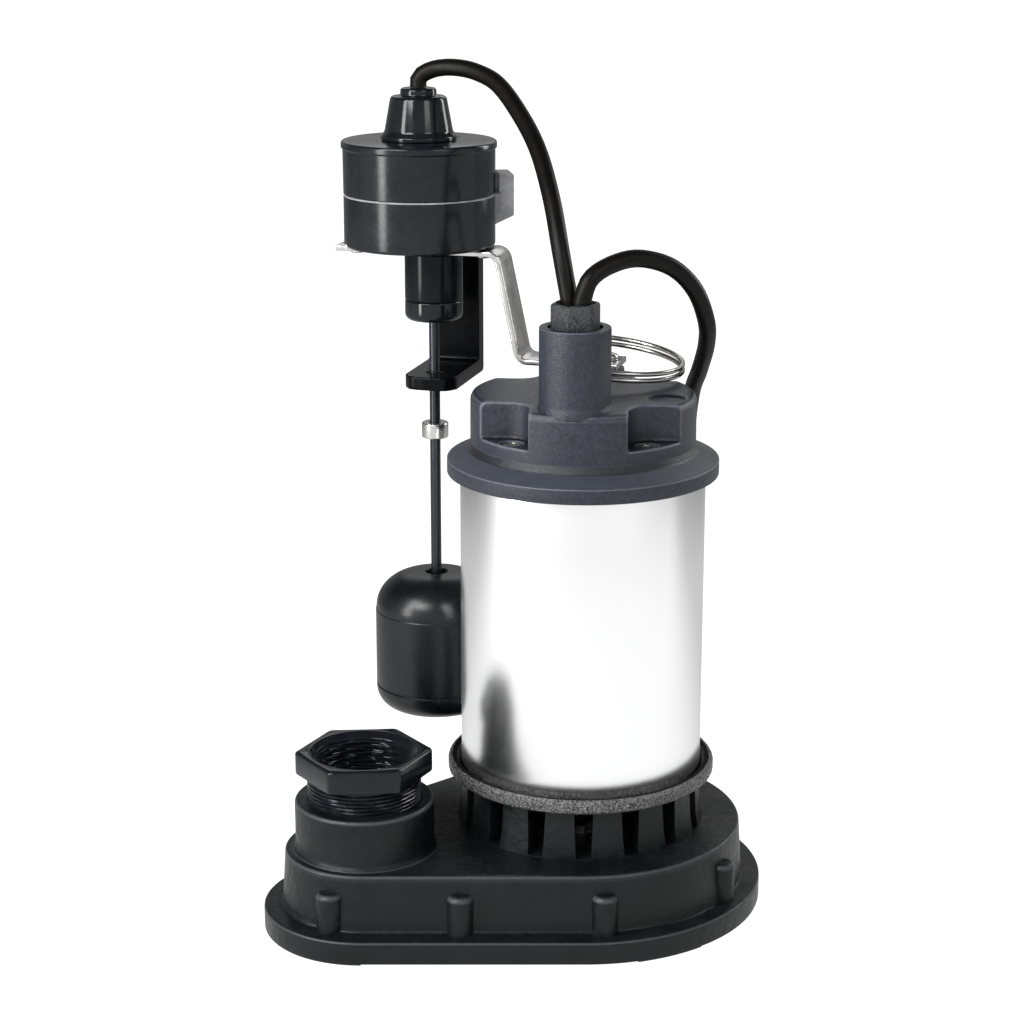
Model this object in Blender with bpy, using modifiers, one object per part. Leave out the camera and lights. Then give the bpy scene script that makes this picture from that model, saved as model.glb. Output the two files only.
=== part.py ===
"""Submersible sump pump with a vertical float switch.

Metres, +Z up. The origin is on the motor's axis, on the floor that the pump stands on.
The front is -Y: the discharge is to the left of the motor and ahead of it, the switch behind it.
"""

import math

import bmesh
import bpy
import numpy as np
from mathutils import Matrix
from mathutils import Vector

# Gap between pieces that seat on or run in each other
FIT = 0.0003
# How far a cutting tool runs past the face it cuts
PAST = 0.002
# How far a joined shape stays inside the face that it would otherwise share
INSIDE = 0.00002

# Volute base: one drafted hull round a large circle on the motor axis and a small one at the discharge
WALL_RADIUS = 0.0703
WALL_DRAFT = 0.0012
WALL_THICKNESS = 0.0085
FLANGE_REACH = 0.0097
FLANGE_HEIGHT = 0.0108
FLANGE_EDGE = 0.0016
ROOT_FILLET = 0.0022
LEDGE_HEIGHT = 0.0364
LEDGE_EDGE = 0.0026
ROOF_THICKNESS = 0.0074
DISCHARGE_LEFT = 0.0935
DISCHARGE_FORWARD = 0.036
FOOT_RELIEF = 0.0008
FRONT_FOOT_FROM = 0.0225
FRONT_FOOT_TO = 0.050

# Discharge boss on the ledge, and the passage up through it
BOSS_RADIUS = 0.0298
BOSS_HEIGHT = 0.0222
BOSS_EDGE = 0.0024
BOSS_FLARE = 0.0016
PASSAGE_RADIUS = 0.0205

# Screw bosses up the wall: bearings round the two circles, and one on the straight front
SCREW_BOSS_RADIUS = 0.0056
SCREW_BOSS_TOP = 0.0285
PUMP_BOSS_ANGLES = (-83.0, -31.0, 45.0, 122.0)
DISCHARGE_BOSS_ANGLE = -113.0
FRONT_BOSS_X = -0.052

# Bottom plate and its screws
PLATE_THICKNESS = 0.0047
PLATE_RIM = 0.0058
PLATE_SCREW_INSET = 0.0025
PLATE_SCREW_RADIUS = 0.0021
PLATE_SCREW_LENGTH = 0.016
PLATE_HEAD_RADIUS = 0.0037
PLATE_HEAD_HEIGHT = 0.0025

# Intake: a crown of wide fins with tapered gaps, over the impeller's eye
FIN_COUNT = 16
FIRST_GAP = -90.0
FIN_HEIGHT = 0.0220
FIN_INSET = 0.0005
FIN_SPREAD = 0.002
FIN_DEPTH = 0.0105
GAP_TOP = 0.0084
GAP_FOOT = 0.0066
EYE_RADIUS = 0.026

# Motor base plate: the rough-edged ring under the can, with the lower bearing and the shaft seal
RING_OVERHANG = 0.0058
RING_HEIGHT = 0.0060
RING_EDGE = 0.0007
CAN_SEAT_DEPTH = 0.0034
PLATE_FLOOR = 0.0058
SPIGOT_HEIGHT = 0.009
SPIGOT_BAND = 0.015
HUB_RADIUS = 0.016
SEAL_HUB_DROP = 0.0142
MOTOR_SCREW_FINS = (1, 6, 11)
MOTOR_SCREW_RADIUS = 0.0022
MOTOR_HEAD_RADIUS = 0.0042
MOTOR_HEAD_HEIGHT = 0.003

# Motor can
CAN_RADIUS = 0.0525
CAN_WALL = 0.0012
CAN_LENGTH = 0.1334

# Flat rubber gaskets at the two ends of the can
GASKET_THICKNESS = 0.001

# Motor
SHAFT_RADIUS = 0.005
SHAFT_BOTTOM = 0.012
SHAFT_END = 0.002
BEARING_RADIUS = 0.011
BEARING_HEIGHT = 0.007
STATOR_HEIGHT = 0.05
STATOR_ABOVE_RING = 0.0313
WINDING_CLEAR = 0.0026
WINDING_WIDTH = 0.0128
WINDING_INSET = 0.004
WINDING_HEIGHT = 0.014
AIR_GAP = 0.0006
ROTOR_LENGTH = 0.056
SHAFT_SEAL_RADIUS = 0.0092
SHAFT_SEAL_HEIGHT = 0.0094

# Impeller
IMPELLER_RADIUS = 0.042
IMPELLER_LIFT = 0.0038
SHROUD_THICKNESS = 0.003
VANE_COUNT = 6
VANE_HEIGHT = 0.0135
VANE_THICKNESS = 0.0026
VANE_SWEEP = math.radians(75.0)
IMPELLER_HUB_RADIUS = 0.0095
IMPELLER_HUB_HEIGHT = 0.021
IMPELLER_FILLET = 0.002

# Top cover: turned body with a rim, a pocket at each corner, a cord riser and a lifting lug
COVER_YAW = math.radians(-4.6)
RIM_OVERHANG = 0.0056
RIM_HEIGHT = 0.0067
RIM_EDGE = 0.0012
RIM_GROOVE = 0.0046
SHOULDER_RISE = 0.0035
COVER_INSET = 0.0045
COVER_HEIGHT = 0.0347
COVER_EDGE = 0.0032
COVER_TOP_THICKNESS = 0.006
HEADROOM_RADIUS = 0.027
POCKET_BESIDE = 0.0077
POCKET_BEHIND = 0.0078
POCKET_CORNER = 0.010
POCKET_DEPTH = 0.0158
BOLT_INSET = 0.009
BOLT_BEARING = math.radians(48.2)
BOLT_RADIUS = 0.0024
BOLT_HEAD_RADIUS = 0.0042
BOLT_HEAD_HEIGHT = 0.004
BOLT_SUNK = 0.0046
BOLT_SEAT_CLEAR = 0.0004
BOLT_BITE = 0.008
DIMPLE_INSET = 0.0125
DIMPLE_FORWARD = 0.0109
DIMPLE_RADIUS = 0.008
DIMPLE_DEPTH = 0.0008

# Cord riser, its gland nut and the rubber grommet inside
RISER_LEFT = 0.0019
RISER_INSET = 0.0153
RISER_RADIUS = 0.01485
RISER_WALL = 0.0035
RISER_HEIGHT = 0.034
RISER_FILLET = 0.002
MOUTH_DEPTH = 0.008
NUT_CORNER_RADIUS = 0.0106
NUT_HEIGHT = 0.0175
NUT_YAW = math.radians(14.5)
NUT_THREAD_RADIUS = 0.0095
NUT_THREAD_LENGTH = 0.014
NUT_BORE_RADIUS = 0.0079
NUT_EDGE = 0.0005
GROMMET_HEIGHT = 0.022
GROMMET_SUNK = 0.0045

# Discharge bushing
BUSHING_CORNER_RADIUS = 0.0296
BUSHING_HEX_HEIGHT = 0.010
BUSHING_HEX_LIFT = 0.0109
BUSHING_YAW = math.radians(4.0)
BUSHING_THREAD_RADIUS = 0.0243
BUSHING_SUNK = 0.020
BUSHING_BORE_RADIUS = 0.0195
BUSHING_MOUTH_RADIUS = 0.0215
BUSHING_MOUTH_DEPTH = 0.003
BUSHING_EDGE = 0.0006

# Switch: its housing stands on a bent strap that is screwed to the back of the cover
SWITCH_LEFT = 0.0185
SWITCH_BACK = 0.007
STRAP_FOOT_RIGHT = 0.0055
STRAP_FOOT_INSET = 0.0095
STRAP_WIDTH = 0.020
STRAP_THICKNESS = 0.0025
STRAP_RISE = 0.0469
STRAP_BEND = 0.005
STRAP_LIP = 0.0026
STRAP_TOP_CLEAR = 0.0041
STRAP_LOW_BEND = 0.0318
STRAP_TAB = 0.0125
STRAP_BOSS_HEIGHT = 0.003
STRAP_BOSS_RADIUS = 0.0068
STRAP_SCREW_PITCH = 0.014
STRAP_SCREW_RADIUS = 0.002
STRAP_SCREW_LENGTH = 0.011
STRAP_HEAD_RADIUS = 0.0041
STRAP_HEAD_HEIGHT = 0.0026
RIVET_INSET = 0.0044
RIVET_RADIUS = 0.0016
RIVET_HEAD_RADIUS = 0.0034
RIVET_HEAD_HEIGHT = 0.0017
HOUSING_RADIUS = 0.0334
HOUSING_LOWER_HEIGHT = 0.0228
HOUSING_UPPER_HEIGHT = 0.023
HOUSING_UPPER_RADIUS = 0.0342
HOUSING_WALL = 0.0026
HOUSING_FLOOR = 0.0032
LID_EDGE = 0.0014
EAR_BEARING = math.radians(24.0)
EAR_REACH = 0.0065
EAR_WIDTH = 0.014
EAR_LIFT = 0.009
EAR_HEIGHT = 0.0225
EAR_SLANT = 0.004
BOOT_RADIUS = 0.0158
BOOT_SHOULDER_RADIUS = 0.0122
BOOT_HEIGHT = 0.0188
BOOT_NECK_RADIUS = 0.0079
BOOT_NECK_HEIGHT = 0.0034
REED_SIZE = (0.030, 0.016, 0.016)

# Tube under the strap with the rod's magnet in it
ROD_OFFSET = 0.0063
TUBE_RADIUS = 0.0129
TUBE_WALL = 0.0025
TUBE_LENGTH = 0.0206
CAP_HEIGHT = 0.009
CAP_FLOOR = 0.0044
CAP_ROUND = 0.003
MAGNET_HEIGHT = 0.009

# Guide arm, rod, stop collar and float
GUIDE_DROP = 0.0607
GUIDE_THICKNESS = 0.0061
GUIDE_WIDTH = 0.024
GUIDE_FRONT = 0.012
GUIDE_NOSE = 0.0045
GUIDE_BACK = 0.030
GUIDE_PLATE = 0.008
ROD_RADIUS = 0.00238
ROD_TRAVEL = 0.015
ROD_LENGTH = 0.192
COLLAR_RADIUS = 0.0060
COLLAR_HEIGHT = 0.0071
COLLAR_CLEAR = 0.0015
COLLAR_EDGE = 0.0006
SET_SCREW_RADIUS = 0.0016
STOP_RADIUS = 0.006
STOP_HEIGHT = 0.0057
FLOAT_RADIUS = 0.028
FLOAT_HEIGHT = 0.064
FLOAT_DOME = 0.016
FLOAT_CROWN_RADIUS = 0.009
FLOAT_DOME_START = 78.0
FLOAT_FOOT_ROUND = 0.010
FLOAT_RECESS = 0.009
FLOAT_MOUTH_RADIUS = 0.005

# Lifting ring: two turns of wire through a lug on the cover
LUG_AT = (0.005, 0.0014)
LUG_RADIUS = 0.0077
LUG_THICKNESS = 0.004
LUG_HOLE_RADIUS = 0.0046
LUG_HEIGHT = 0.0070
LIFT_RING_RADIUS = 0.030
LIFT_WIRE_RADIUS = 0.0011
LIFT_PITCH = 0.0028
LIFT_CENTRE_X = 0.009
LIFT_TILT = math.radians(6.2)
LIFT_LEAN = math.radians(2.0)
LIFT_TURNS = 2
LIFT_POINTS = 20

# Cords
CORD_RADIUS = 0.0037
CORD_STEP = 0.0148
CORD_STRAIGHT = 0.003
CORD_SPREAD = 0.0039
CORD_BEARING = math.radians(-52.0)
COIL_AT = (0.004, 0.142)
COIL_RADIUS = 0.054
COIL_PITCH = 0.0083
COIL_TURNS = 7.375
COIL_POINTS = 24
LEAST_COIL_GAP = 0.0004

# Plug
PLUG_RADIUS = 0.0115
PLUG_LENGTH = 0.036
PLUG_NECK_RADIUS = 0.0052
PLUG_NECK_LENGTH = 0.014
BLADE_SIZE = (0.0064, 0.0015, 0.022)
BLADE_SUNK = 0.005
BLADE_SPACING = 0.0127
BLADE_RISE = 0.0040
GROUND_RADIUS = 0.0024
GROUND_DROP = 0.0079

# Facets of a full turn on large, middling, core, small and hidden round shapes
LARGE = 32
MIDDLE = 20
CORE = 18
SMALL = 10
HIDDEN = 8
# Points of the base's plan along its large and its small circle
HULL_LARGE_POINTS = 24
HULL_SMALL_POINTS = 9

# Heights that follow from the sizes above
FINS_TOP = LEDGE_HEIGHT + FIN_HEIGHT
RING_BOTTOM = FINS_TOP + FIT
RING_TOP = RING_BOTTOM + RING_HEIGHT
CAN_SEAT = RING_TOP - CAN_SEAT_DEPTH
CAN_BOTTOM = CAN_SEAT + GASKET_THICKNESS + 2 * FIT
CAN_TOP = CAN_BOTTOM + CAN_LENGTH
CAN_INNER = CAN_RADIUS - CAN_WALL
SPIGOT_RADIUS = CAN_INNER - FIT
SPIGOT_INNER = SPIGOT_RADIUS - SPIGOT_BAND
SPIGOT_TOP = CAN_SEAT + SPIGOT_HEIGHT
GROOVE_TOP = CAN_TOP + GASKET_THICKNESS + 2 * FIT
RIM_BOTTOM = GROOVE_TOP - RIM_GROOVE
RIM_TOP = RIM_BOTTOM + RIM_HEIGHT
COVER_TOP = RIM_BOTTOM + COVER_HEIGHT
COVER_SPIGOT = RIM_BOTTOM - SPIGOT_HEIGHT
POCKET_FLOOR = COVER_TOP - POCKET_DEPTH
BOLT_SEAT = POCKET_FLOOR - BOLT_SUNK
SHAFT_BORE = SHAFT_RADIUS + FIT
LOWER_BEARING = RING_BOTTOM + PLATE_FLOOR + BEARING_HEIGHT
UPPER_BEARING = RIM_TOP
SHAFT_TOP = UPPER_BEARING + BEARING_HEIGHT + SHAFT_END
RISER_TOP = COVER_TOP + RISER_HEIGHT
RISER_MOUTH = RISER_RADIUS - RISER_WALL
NUT_BOTTOM = RISER_TOP - MOUTH_DEPTH + FIT
NUT_TOP = NUT_BOTTOM + NUT_HEIGHT
GROMMET_TOP = NUT_TOP - GROMMET_SUNK
BOSS_TOP = LEDGE_HEIGHT + BOSS_HEIGHT
BUSHING_HEX_BOTTOM = BOSS_TOP + BUSHING_HEX_LIFT
BUSHING_TOP = BUSHING_HEX_BOTTOM + BUSHING_HEX_HEIGHT
BUSHING_BOTTOM = BOSS_TOP - BUSHING_SUNK
CHAMBER_TOP = LEDGE_HEIGHT - ROOF_THICKNESS
STRAP_LOW = COVER_TOP + STRAP_BOSS_HEIGHT + FIT
STRAP_HIGH = STRAP_LOW + STRAP_RISE
HOUSING_BOTTOM = STRAP_HIGH + STRAP_THICKNESS + FIT
HOUSING_SEAM = HOUSING_BOTTOM + HOUSING_LOWER_HEIGHT
LID_TOP = HOUSING_SEAM + FIT + HOUSING_UPPER_HEIGHT
BOOT_BOTTOM = LID_TOP + FIT
BOOT_TOP = BOOT_BOTTOM + BOOT_HEIGHT + BOOT_NECK_HEIGHT
TUBE_TOP = STRAP_HIGH - FIT
TUBE_BOTTOM = TUBE_TOP - TUBE_LENGTH
CAP_TOP = TUBE_BOTTOM - FIT
CAP_BOTTOM = CAP_TOP - CAP_HEIGHT
ROD_TOP = CAP_BOTTOM + CAP_FLOOR + FIT + MAGNET_HEIGHT
ROD_BOTTOM = ROD_TOP - ROD_LENGTH
ROD_BORE = ROD_RADIUS + FIT
GUIDE_BOTTOM = STRAP_HIGH - GUIDE_DROP
COLLAR_TOP = GUIDE_BOTTOM - ROD_TRAVEL - COLLAR_CLEAR
COLLAR_BOTTOM = COLLAR_TOP - COLLAR_HEIGHT
FLOAT_SEAT = ROD_BOTTOM + STOP_HEIGHT + FIT
FLOAT_BOTTOM = FLOAT_SEAT - FLOAT_RECESS
FLOAT_TOP = FLOAT_BOTTOM + FLOAT_HEIGHT
LUG_CENTRE = COVER_TOP + LUG_HEIGHT
DISCHARGE_AT = (-DISCHARGE_LEFT, -DISCHARGE_FORWARD)
DISCHARGE_WALL = WALL_RADIUS - DISCHARGE_FORWARD

# What stands round the can, over it and under it takes its place from the can's radius
FIN_TOP_RADIUS = CAN_RADIUS - FIN_INSET
FIN_FOOT_RADIUS = FIN_TOP_RADIUS + FIN_SPREAD
RING_RADIUS = CAN_RADIUS + RING_OVERHANG
RIM_RADIUS = CAN_RADIUS + RIM_OVERHANG
COVER_RADIUS = CAN_RADIUS - COVER_INSET
BOLT_CIRCLE = SPIGOT_RADIUS - BOLT_INSET
CAVITY_RADIUS = BOLT_CIRCLE + BOLT_RADIUS + 3 * FIT
WINDING_RADIUS = BOLT_CIRCLE - BOLT_RADIUS - WINDING_CLEAR
WINDING_INNER = WINDING_RADIUS - WINDING_WIDTH
STATOR_BORE = WINDING_INNER - WINDING_INSET
POCKET_SIDE = BOLT_CIRCLE * math.cos(BOLT_BEARING) - POCKET_BESIDE
POCKET_BACK = BOLT_CIRCLE * math.sin(BOLT_BEARING) - POCKET_BEHIND
DIMPLE_AT = (COVER_RADIUS - DIMPLE_INSET, -DIMPLE_FORWARD)
RISER_AT = (-RISER_LEFT, RISER_INSET - COVER_RADIUS)
SWITCH_AT = (-CAN_RADIUS - SWITCH_LEFT, CAN_RADIUS + SWITCH_BACK)
STRAP_FOOT_AT = (STRAP_FOOT_RIGHT, COVER_RADIUS - STRAP_FOOT_INSET)

# The strap reaches past the switch housing on both sides, and the rivets hold the housing inside its wall
STRAP_LEFT = HOUSING_RADIUS + STRAP_LIP
STRAP_TOP_BEND = HOUSING_RADIUS + STRAP_TOP_CLEAR
RIVET_AT = HOUSING_RADIUS - RIVET_INSET

# Where the strap runs, seen from above: from the switch to its foot on the cover
STRAP_REACH = math.dist(SWITCH_AT, STRAP_FOOT_AT)
SWITCH_YAW = math.atan2(STRAP_FOOT_AT[1] - SWITCH_AT[1], STRAP_FOOT_AT[0] - SWITCH_AT[0])

# The free cords' routes, seen points first; their ends are worked out from the pieces they meet
SWITCH_CORD_ROUTE = (
    (-0.0104, -0.0240, 0.2911),
    (-0.0139, -0.0110, 0.3101),
    (-0.0191, 0.0060, 0.3277),
    (-0.0263, 0.0220, 0.3408),
    (-0.0360, 0.0380, 0.3526),
    (-0.0457, 0.0475, 0.3573),
    (-0.0549, 0.0535, 0.3587),
    (-0.0629, 0.0572, 0.3580),
    (-0.0688, 0.0590, 0.3556),
)
POWER_CORD_ROUTE = (
    (0.0012, -0.0340, 0.2814),
    (0.0098, -0.0290, 0.2866),
    (0.0215, -0.0230, 0.2883),
    (0.0353, -0.0180, 0.2838),
    (0.0453, -0.0130, 0.2735),
    (0.0510, -0.0050, 0.2590),
    (0.0523, 0.0070, 0.2468),
    (0.0510, 0.0230, 0.2326),
    (0.0489, 0.0380, 0.2188),
    (0.0485, 0.0560, 0.1950),
    (0.0490, 0.0700, 0.1600),
    (0.0500, 0.0820, 0.1100),
    (0.0505, 0.0895, 0.0550),
    (0.0460, 0.0910, 0.0230),
    (0.0350, 0.0895, 0.0085),
    (0.0220, 0.0882, 0.0044),
)

# Finish of each kind of surface: colour, roughness, metallic
FINISHES = {
    "cast_paint": ((0.022, 0.024, 0.026), 0.55, 0.2),
    "rough_iron": ((0.07, 0.07, 0.072), 0.6, 0.6),
    "polished_steel": ((0.80, 0.80, 0.80), 0.12, 1.0),
    "zinc_steel": ((0.62, 0.61, 0.58), 0.28, 1.0),
    "powder_coat": ((0.035, 0.040, 0.048), 0.48, 0.1),
    "gloss_plastic": ((0.012, 0.012, 0.014), 0.28, 0.0),
    "satin_plastic": ((0.028, 0.030, 0.034), 0.42, 0.0),
    "black_rod": ((0.03, 0.032, 0.036), 0.35, 0.4),
    "cord_rubber": ((0.016, 0.014, 0.013), 0.5, 0.0),
    "seal_rubber": ((0.015, 0.015, 0.015), 0.7, 0.0),
    "lamination": ((0.28, 0.28, 0.30), 0.5, 0.9),
    "copper": ((0.72, 0.34, 0.16), 0.4, 1.0),
    "brass": ((0.75, 0.58, 0.28), 0.3, 1.0),
}


def clear_scene():
    for item in list(bpy.data.objects):
        bpy.data.objects.remove(item, do_unlink=True)
    for group in list(bpy.data.collections):
        bpy.data.collections.remove(group)


clear_scene()
PARTS = bpy.data.collections.new("Submersible_Sump_Pump")
TOOLS = bpy.data.collections.new("Cutters")
bpy.context.scene.collection.children.link(PARTS)
bpy.context.scene.collection.children.link(TOOLS)


def frame(name, at, yaw=0.0, parent=None):
    """An empty that holds pieces: a turned seat or the axis of a joint."""
    empty = bpy.data.objects.new(name, None)
    empty.location = at
    empty.rotation_euler = (0.0, 0.0, yaw)
    empty.empty_display_size = 0.01
    empty.parent = parent
    PARTS.objects.link(empty)
    return empty


def finish(item, kind, parent=None):
    """Gives a piece its own material and its place in the assembly."""
    colour, roughness, metallic = FINISHES[kind]
    material = bpy.data.materials.new(item.name + "_" + kind)
    material.use_nodes = True
    shader = material.node_tree.nodes["Principled BSDF"]
    shader.inputs["Base Color"].default_value = (*colour, 1.0)
    shader.inputs["Roughness"].default_value = roughness
    shader.inputs["Metallic"].default_value = metallic
    item.data.materials.append(material)
    if parent is not None:
        item.parent = parent
    return item


def new_mesh(name, shape):
    """A piece from a bmesh, shaded smooth with its edges kept."""
    mesh = bpy.data.meshes.new(name)
    shape.to_mesh(mesh)
    shape.free()
    mesh.shade_smooth()
    mesh.set_sharp_from_angle(angle=math.radians(32.0))
    item = bpy.data.objects.new(name, mesh)
    PARTS.objects.link(item)
    return item


def turned(name, profile, steps):
    """A profile of (radius, height) points, down its outer side, turned about Z."""
    points = [(radius, 0.0, height) for radius, height in profile]
    edges = [(index, index + 1) for index in range(len(points) - 1)]
    if profile[0][0] > 0.0:
        edges.append((len(points) - 1, 0))
    mesh = bpy.data.meshes.new(name)
    mesh.from_pydata(points, edges, [])
    item = bpy.data.objects.new(name, mesh)
    PARTS.objects.link(item)
    screw = item.modifiers.new("Turn", "SCREW")
    screw.steps = steps
    screw.render_steps = steps
    screw.use_merge_vertices = True
    screw.merge_threshold = 1e-6
    screw.use_smooth_shade = True
    return item


def cylinder(name, radius, bottom, top, steps, at=(0.0, 0.0)):
    shape = bmesh.new()
    centre = Matrix.Translation((at[0], at[1], (bottom + top) / 2))
    bmesh.ops.create_cone(shape, cap_ends=True, segments=steps, radius1=radius, radius2=radius,
                          depth=top - bottom, matrix=centre)
    return new_mesh(name, shape)


def drills(name, places, radius, bottom, top, steps=HIDDEN):
    """Upright cylinders at several places, as one tool."""
    shape = bmesh.new()
    for x, y in places:
        centre = Matrix.Translation((x, y, (bottom + top) / 2))
        bmesh.ops.create_cone(shape, cap_ends=True, segments=steps, radius1=radius, radius2=radius,
                              depth=top - bottom, matrix=centre)
    return new_mesh(name, shape)


def box(name, low, high):
    shape = bmesh.new()
    size = Vector(high) - Vector(low)
    centre = (Vector(high) + Vector(low)) / 2
    bmesh.ops.create_cube(shape, size=1.0, matrix=Matrix.Translation(centre) @ Matrix.Diagonal((*size, 1.0)))
    return new_mesh(name, shape)


def hexagon(name, corner_radius, bottom, top, yaw, edge):
    """A hexagonal prism with a flat to the front, its edges eased."""
    shape = bmesh.new()
    turn = Matrix.Rotation(yaw + math.radians(30.0), 4, "Z")
    place = Matrix.Translation((0.0, 0.0, (bottom + top) / 2)) @ turn
    bmesh.ops.create_cone(shape, cap_ends=True, segments=6, radius1=corner_radius, radius2=corner_radius,
                          depth=top - bottom, matrix=place)
    bmesh.ops.bevel(shape, geom=list(shape.edges), offset=edge, segments=1, affect="EDGES")
    return new_mesh(name, shape)


def as_mesh(item):
    """The curve's evaluated form as a mesh with its caps welded."""
    bpy.context.view_layer.update()
    evaluated = item.evaluated_get(bpy.context.evaluated_depsgraph_get())
    mesh = bpy.data.meshes.new_from_object(evaluated)
    mesh.transform(item.matrix_world)
    shape = bmesh.new()
    shape.from_mesh(mesh)
    bmesh.ops.remove_doubles(shape, verts=list(shape.verts), dist=1e-6)
    name = item.name
    bpy.data.objects.remove(item, do_unlink=True)
    bpy.data.meshes.remove(mesh)
    return new_mesh(name, shape)


def extruded(name, outlines, bottom, top, turn=None):
    """Flat outlines raised from bottom to top; turn then takes the solid elsewhere."""
    curve = bpy.data.curves.new(name, "CURVE")
    curve.dimensions = "2D"
    curve.fill_mode = "BOTH"
    curve.extrude = (top - bottom) / 2
    for outline in outlines:
        spline = curve.splines.new("POLY")
        spline.points.add(len(outline) - 1)
        spline.use_cyclic_u = True
        for point, (x, y) in zip(spline.points, outline):
            point.co = (x, y, 0.0, 1.0)
    item = bpy.data.objects.new(name, curve)
    PARTS.objects.link(item)
    place = Matrix.Translation((0.0, 0.0, (bottom + top) / 2))
    item.matrix_world = place if turn is None else turn @ place
    return as_mesh(item)


def lofted(name, sections):
    """Closed rings of equally many points, skinned from the first to the last and capped."""
    shape = bmesh.new()
    rings = [[shape.verts.new(point) for point in section] for section in sections]
    for lower, upper in zip(rings, rings[1:]):
        for index in range(len(lower)):
            after = (index + 1) % len(lower)
            shape.faces.new((lower[index], lower[after], upper[after], upper[index]))
    shape.faces.new(rings[0][::-1])
    shape.faces.new(rings[-1])
    return new_mesh(name, shape)


def tube(name, points, radius, resolution):
    """A round tube with closed ends along a polyline."""
    curve = bpy.data.curves.new(name, "CURVE")
    curve.dimensions = "3D"
    curve.bevel_depth = radius
    curve.bevel_resolution = resolution
    curve.use_fill_caps = True
    spline = curve.splines.new("POLY")
    spline.points.add(len(points) - 1)
    for point, place in zip(spline.points, points):
        point.co = (*place, 1.0)
    item = bpy.data.objects.new(name, curve)
    PARTS.objects.link(item)
    return item


def combine(target, tool, operation, parent=None):
    """Joins the tool to the target, or cuts it out, and puts the tool among the cutters."""
    modifier = target.modifiers.new(tool.name, "BOOLEAN")
    modifier.operation = operation
    modifier.object = tool
    if tool.name in PARTS.objects:
        PARTS.objects.unlink(tool)
        TOOLS.objects.link(tool)
    tool.hide_render = True
    tool.display_type = "WIRE"
    if parent is not None:
        tool.parent = parent
    return tool


def cut(target, tool, parent=None):
    return combine(target, tool, "DIFFERENCE", parent)


def add(target, tool, parent=None):
    return combine(target, tool, "UNION", parent)


def arc(centre, radius, start, stop, count):
    """Points along an arc in degrees, both ends included."""
    angles = np.radians(np.linspace(start, stop, count))
    return [(centre[0] + radius * math.cos(a), centre[1] + radius * math.sin(a)) for a in angles]


def smooth_route(points, step):
    """Evenly spaced points on a Catmull-Rom curve through the route's own points."""
    knots = [Vector(point) for point in points]
    knots = [2 * knots[0] - knots[1], *knots, 2 * knots[-1] - knots[-2]]
    fine = []
    for a, b, c, d in zip(knots, knots[1:], knots[2:], knots[3:]):
        for t in np.linspace(0.0, 1.0, 24, endpoint=False):
            bend = (2 * a - 5 * b + 4 * c - d) * t * t + (3 * b - a - 3 * c + d) * t ** 3
            fine.append((2 * b + (c - a) * t + bend) / 2)
    fine.append(knots[-2])
    fine = np.array([tuple(point) for point in fine])
    along = np.concatenate([[0.0], np.cumsum(np.linalg.norm(np.diff(fine, axis=0), axis=1))])
    places = np.linspace(0.0, along[-1], int(along[-1] / step) + 2)
    return np.stack([np.interp(places, along, fine[:, axis]) for axis in range(3)], axis=1)


def hull_outline(offset):
    """The base's plan, grown by an offset: a circle on the motor axis and one at the discharge, hulled."""
    bearing = math.degrees(math.atan2(DISCHARGE_AT[1], DISCHARGE_AT[0]))
    spread = math.degrees(math.acos((WALL_RADIUS - DISCHARGE_WALL) / math.hypot(*DISCHARGE_AT)))
    large = arc((0.0, 0.0), WALL_RADIUS + offset, bearing + spread, bearing - spread + 360.0,
                HULL_LARGE_POINTS)
    small = arc(DISCHARGE_AT, DISCHARGE_WALL + offset, bearing - spread, bearing + spread,
                HULL_SMALL_POINTS)
    return large + small


def hull_section(offset, height):
    return [(x, y, height) for x, y in hull_outline(offset)]


def wall_stations(inset):
    """Places along the base's wall that carry a screw boss, moved in from the wall by the inset."""
    places = [arc((0.0, 0.0), WALL_RADIUS - inset, angle, angle, 1)[0] for angle in PUMP_BOSS_ANGLES]
    places.append(arc(DISCHARGE_AT, DISCHARGE_WALL - inset, DISCHARGE_BOSS_ANGLE, DISCHARGE_BOSS_ANGLE, 1)[0])
    places.append((FRONT_BOSS_X, -WALL_RADIUS + inset))
    return places


def round_stations(radius, angles):
    return [arc((0.0, 0.0), radius, angle, angle, 1)[0] for angle in angles]


def fin_crown():
    """The intake's ring of fins: a flared ring with tapered gaps."""
    inner = FIN_TOP_RADIUS - FIN_DEPTH
    crown = turned("intake_crown", [
        (FIN_TOP_RADIUS, FINS_TOP),
        (FIN_TOP_RADIUS + (FIN_FOOT_RADIUS - FIN_TOP_RADIUS) * 0.4, LEDGE_HEIGHT + FIN_HEIGHT * 0.3),
        (FIN_FOOT_RADIUS, LEDGE_HEIGHT),
        (FIN_FOOT_RADIUS, LEDGE_HEIGHT - PAST),
        (inner, LEDGE_HEIGHT - PAST),
        (inner, FINS_TOP),
    ], 2 * FIN_COUNT)
    crown.rotation_euler = (0.0, 0.0, math.radians(FIRST_GAP))
    shape = bmesh.new()
    middle = (inner + FIN_FOOT_RADIUS) / 2
    length = FIN_FOOT_RADIUS - inner + 2 * PAST
    height = FIN_HEIGHT + PAST
    for index in range(FIN_COUNT):
        turn = Matrix.Rotation(math.radians(FIRST_GAP) + index * math.tau / FIN_COUNT, 4, "Z")
        place = turn @ Matrix.Translation((middle, 0.0, LEDGE_HEIGHT + FIT + height / 2))
        made = bmesh.ops.create_cube(shape, size=1.0)["verts"]
        for vert in made:
            width = GAP_TOP if vert.co.z > 0.0 else GAP_FOOT
            vert.co = place @ Vector((vert.co.x * length, vert.co.y * width, vert.co.z * height))
    cut(crown, new_mesh("intake_gaps", shape))
    return crown


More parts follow.
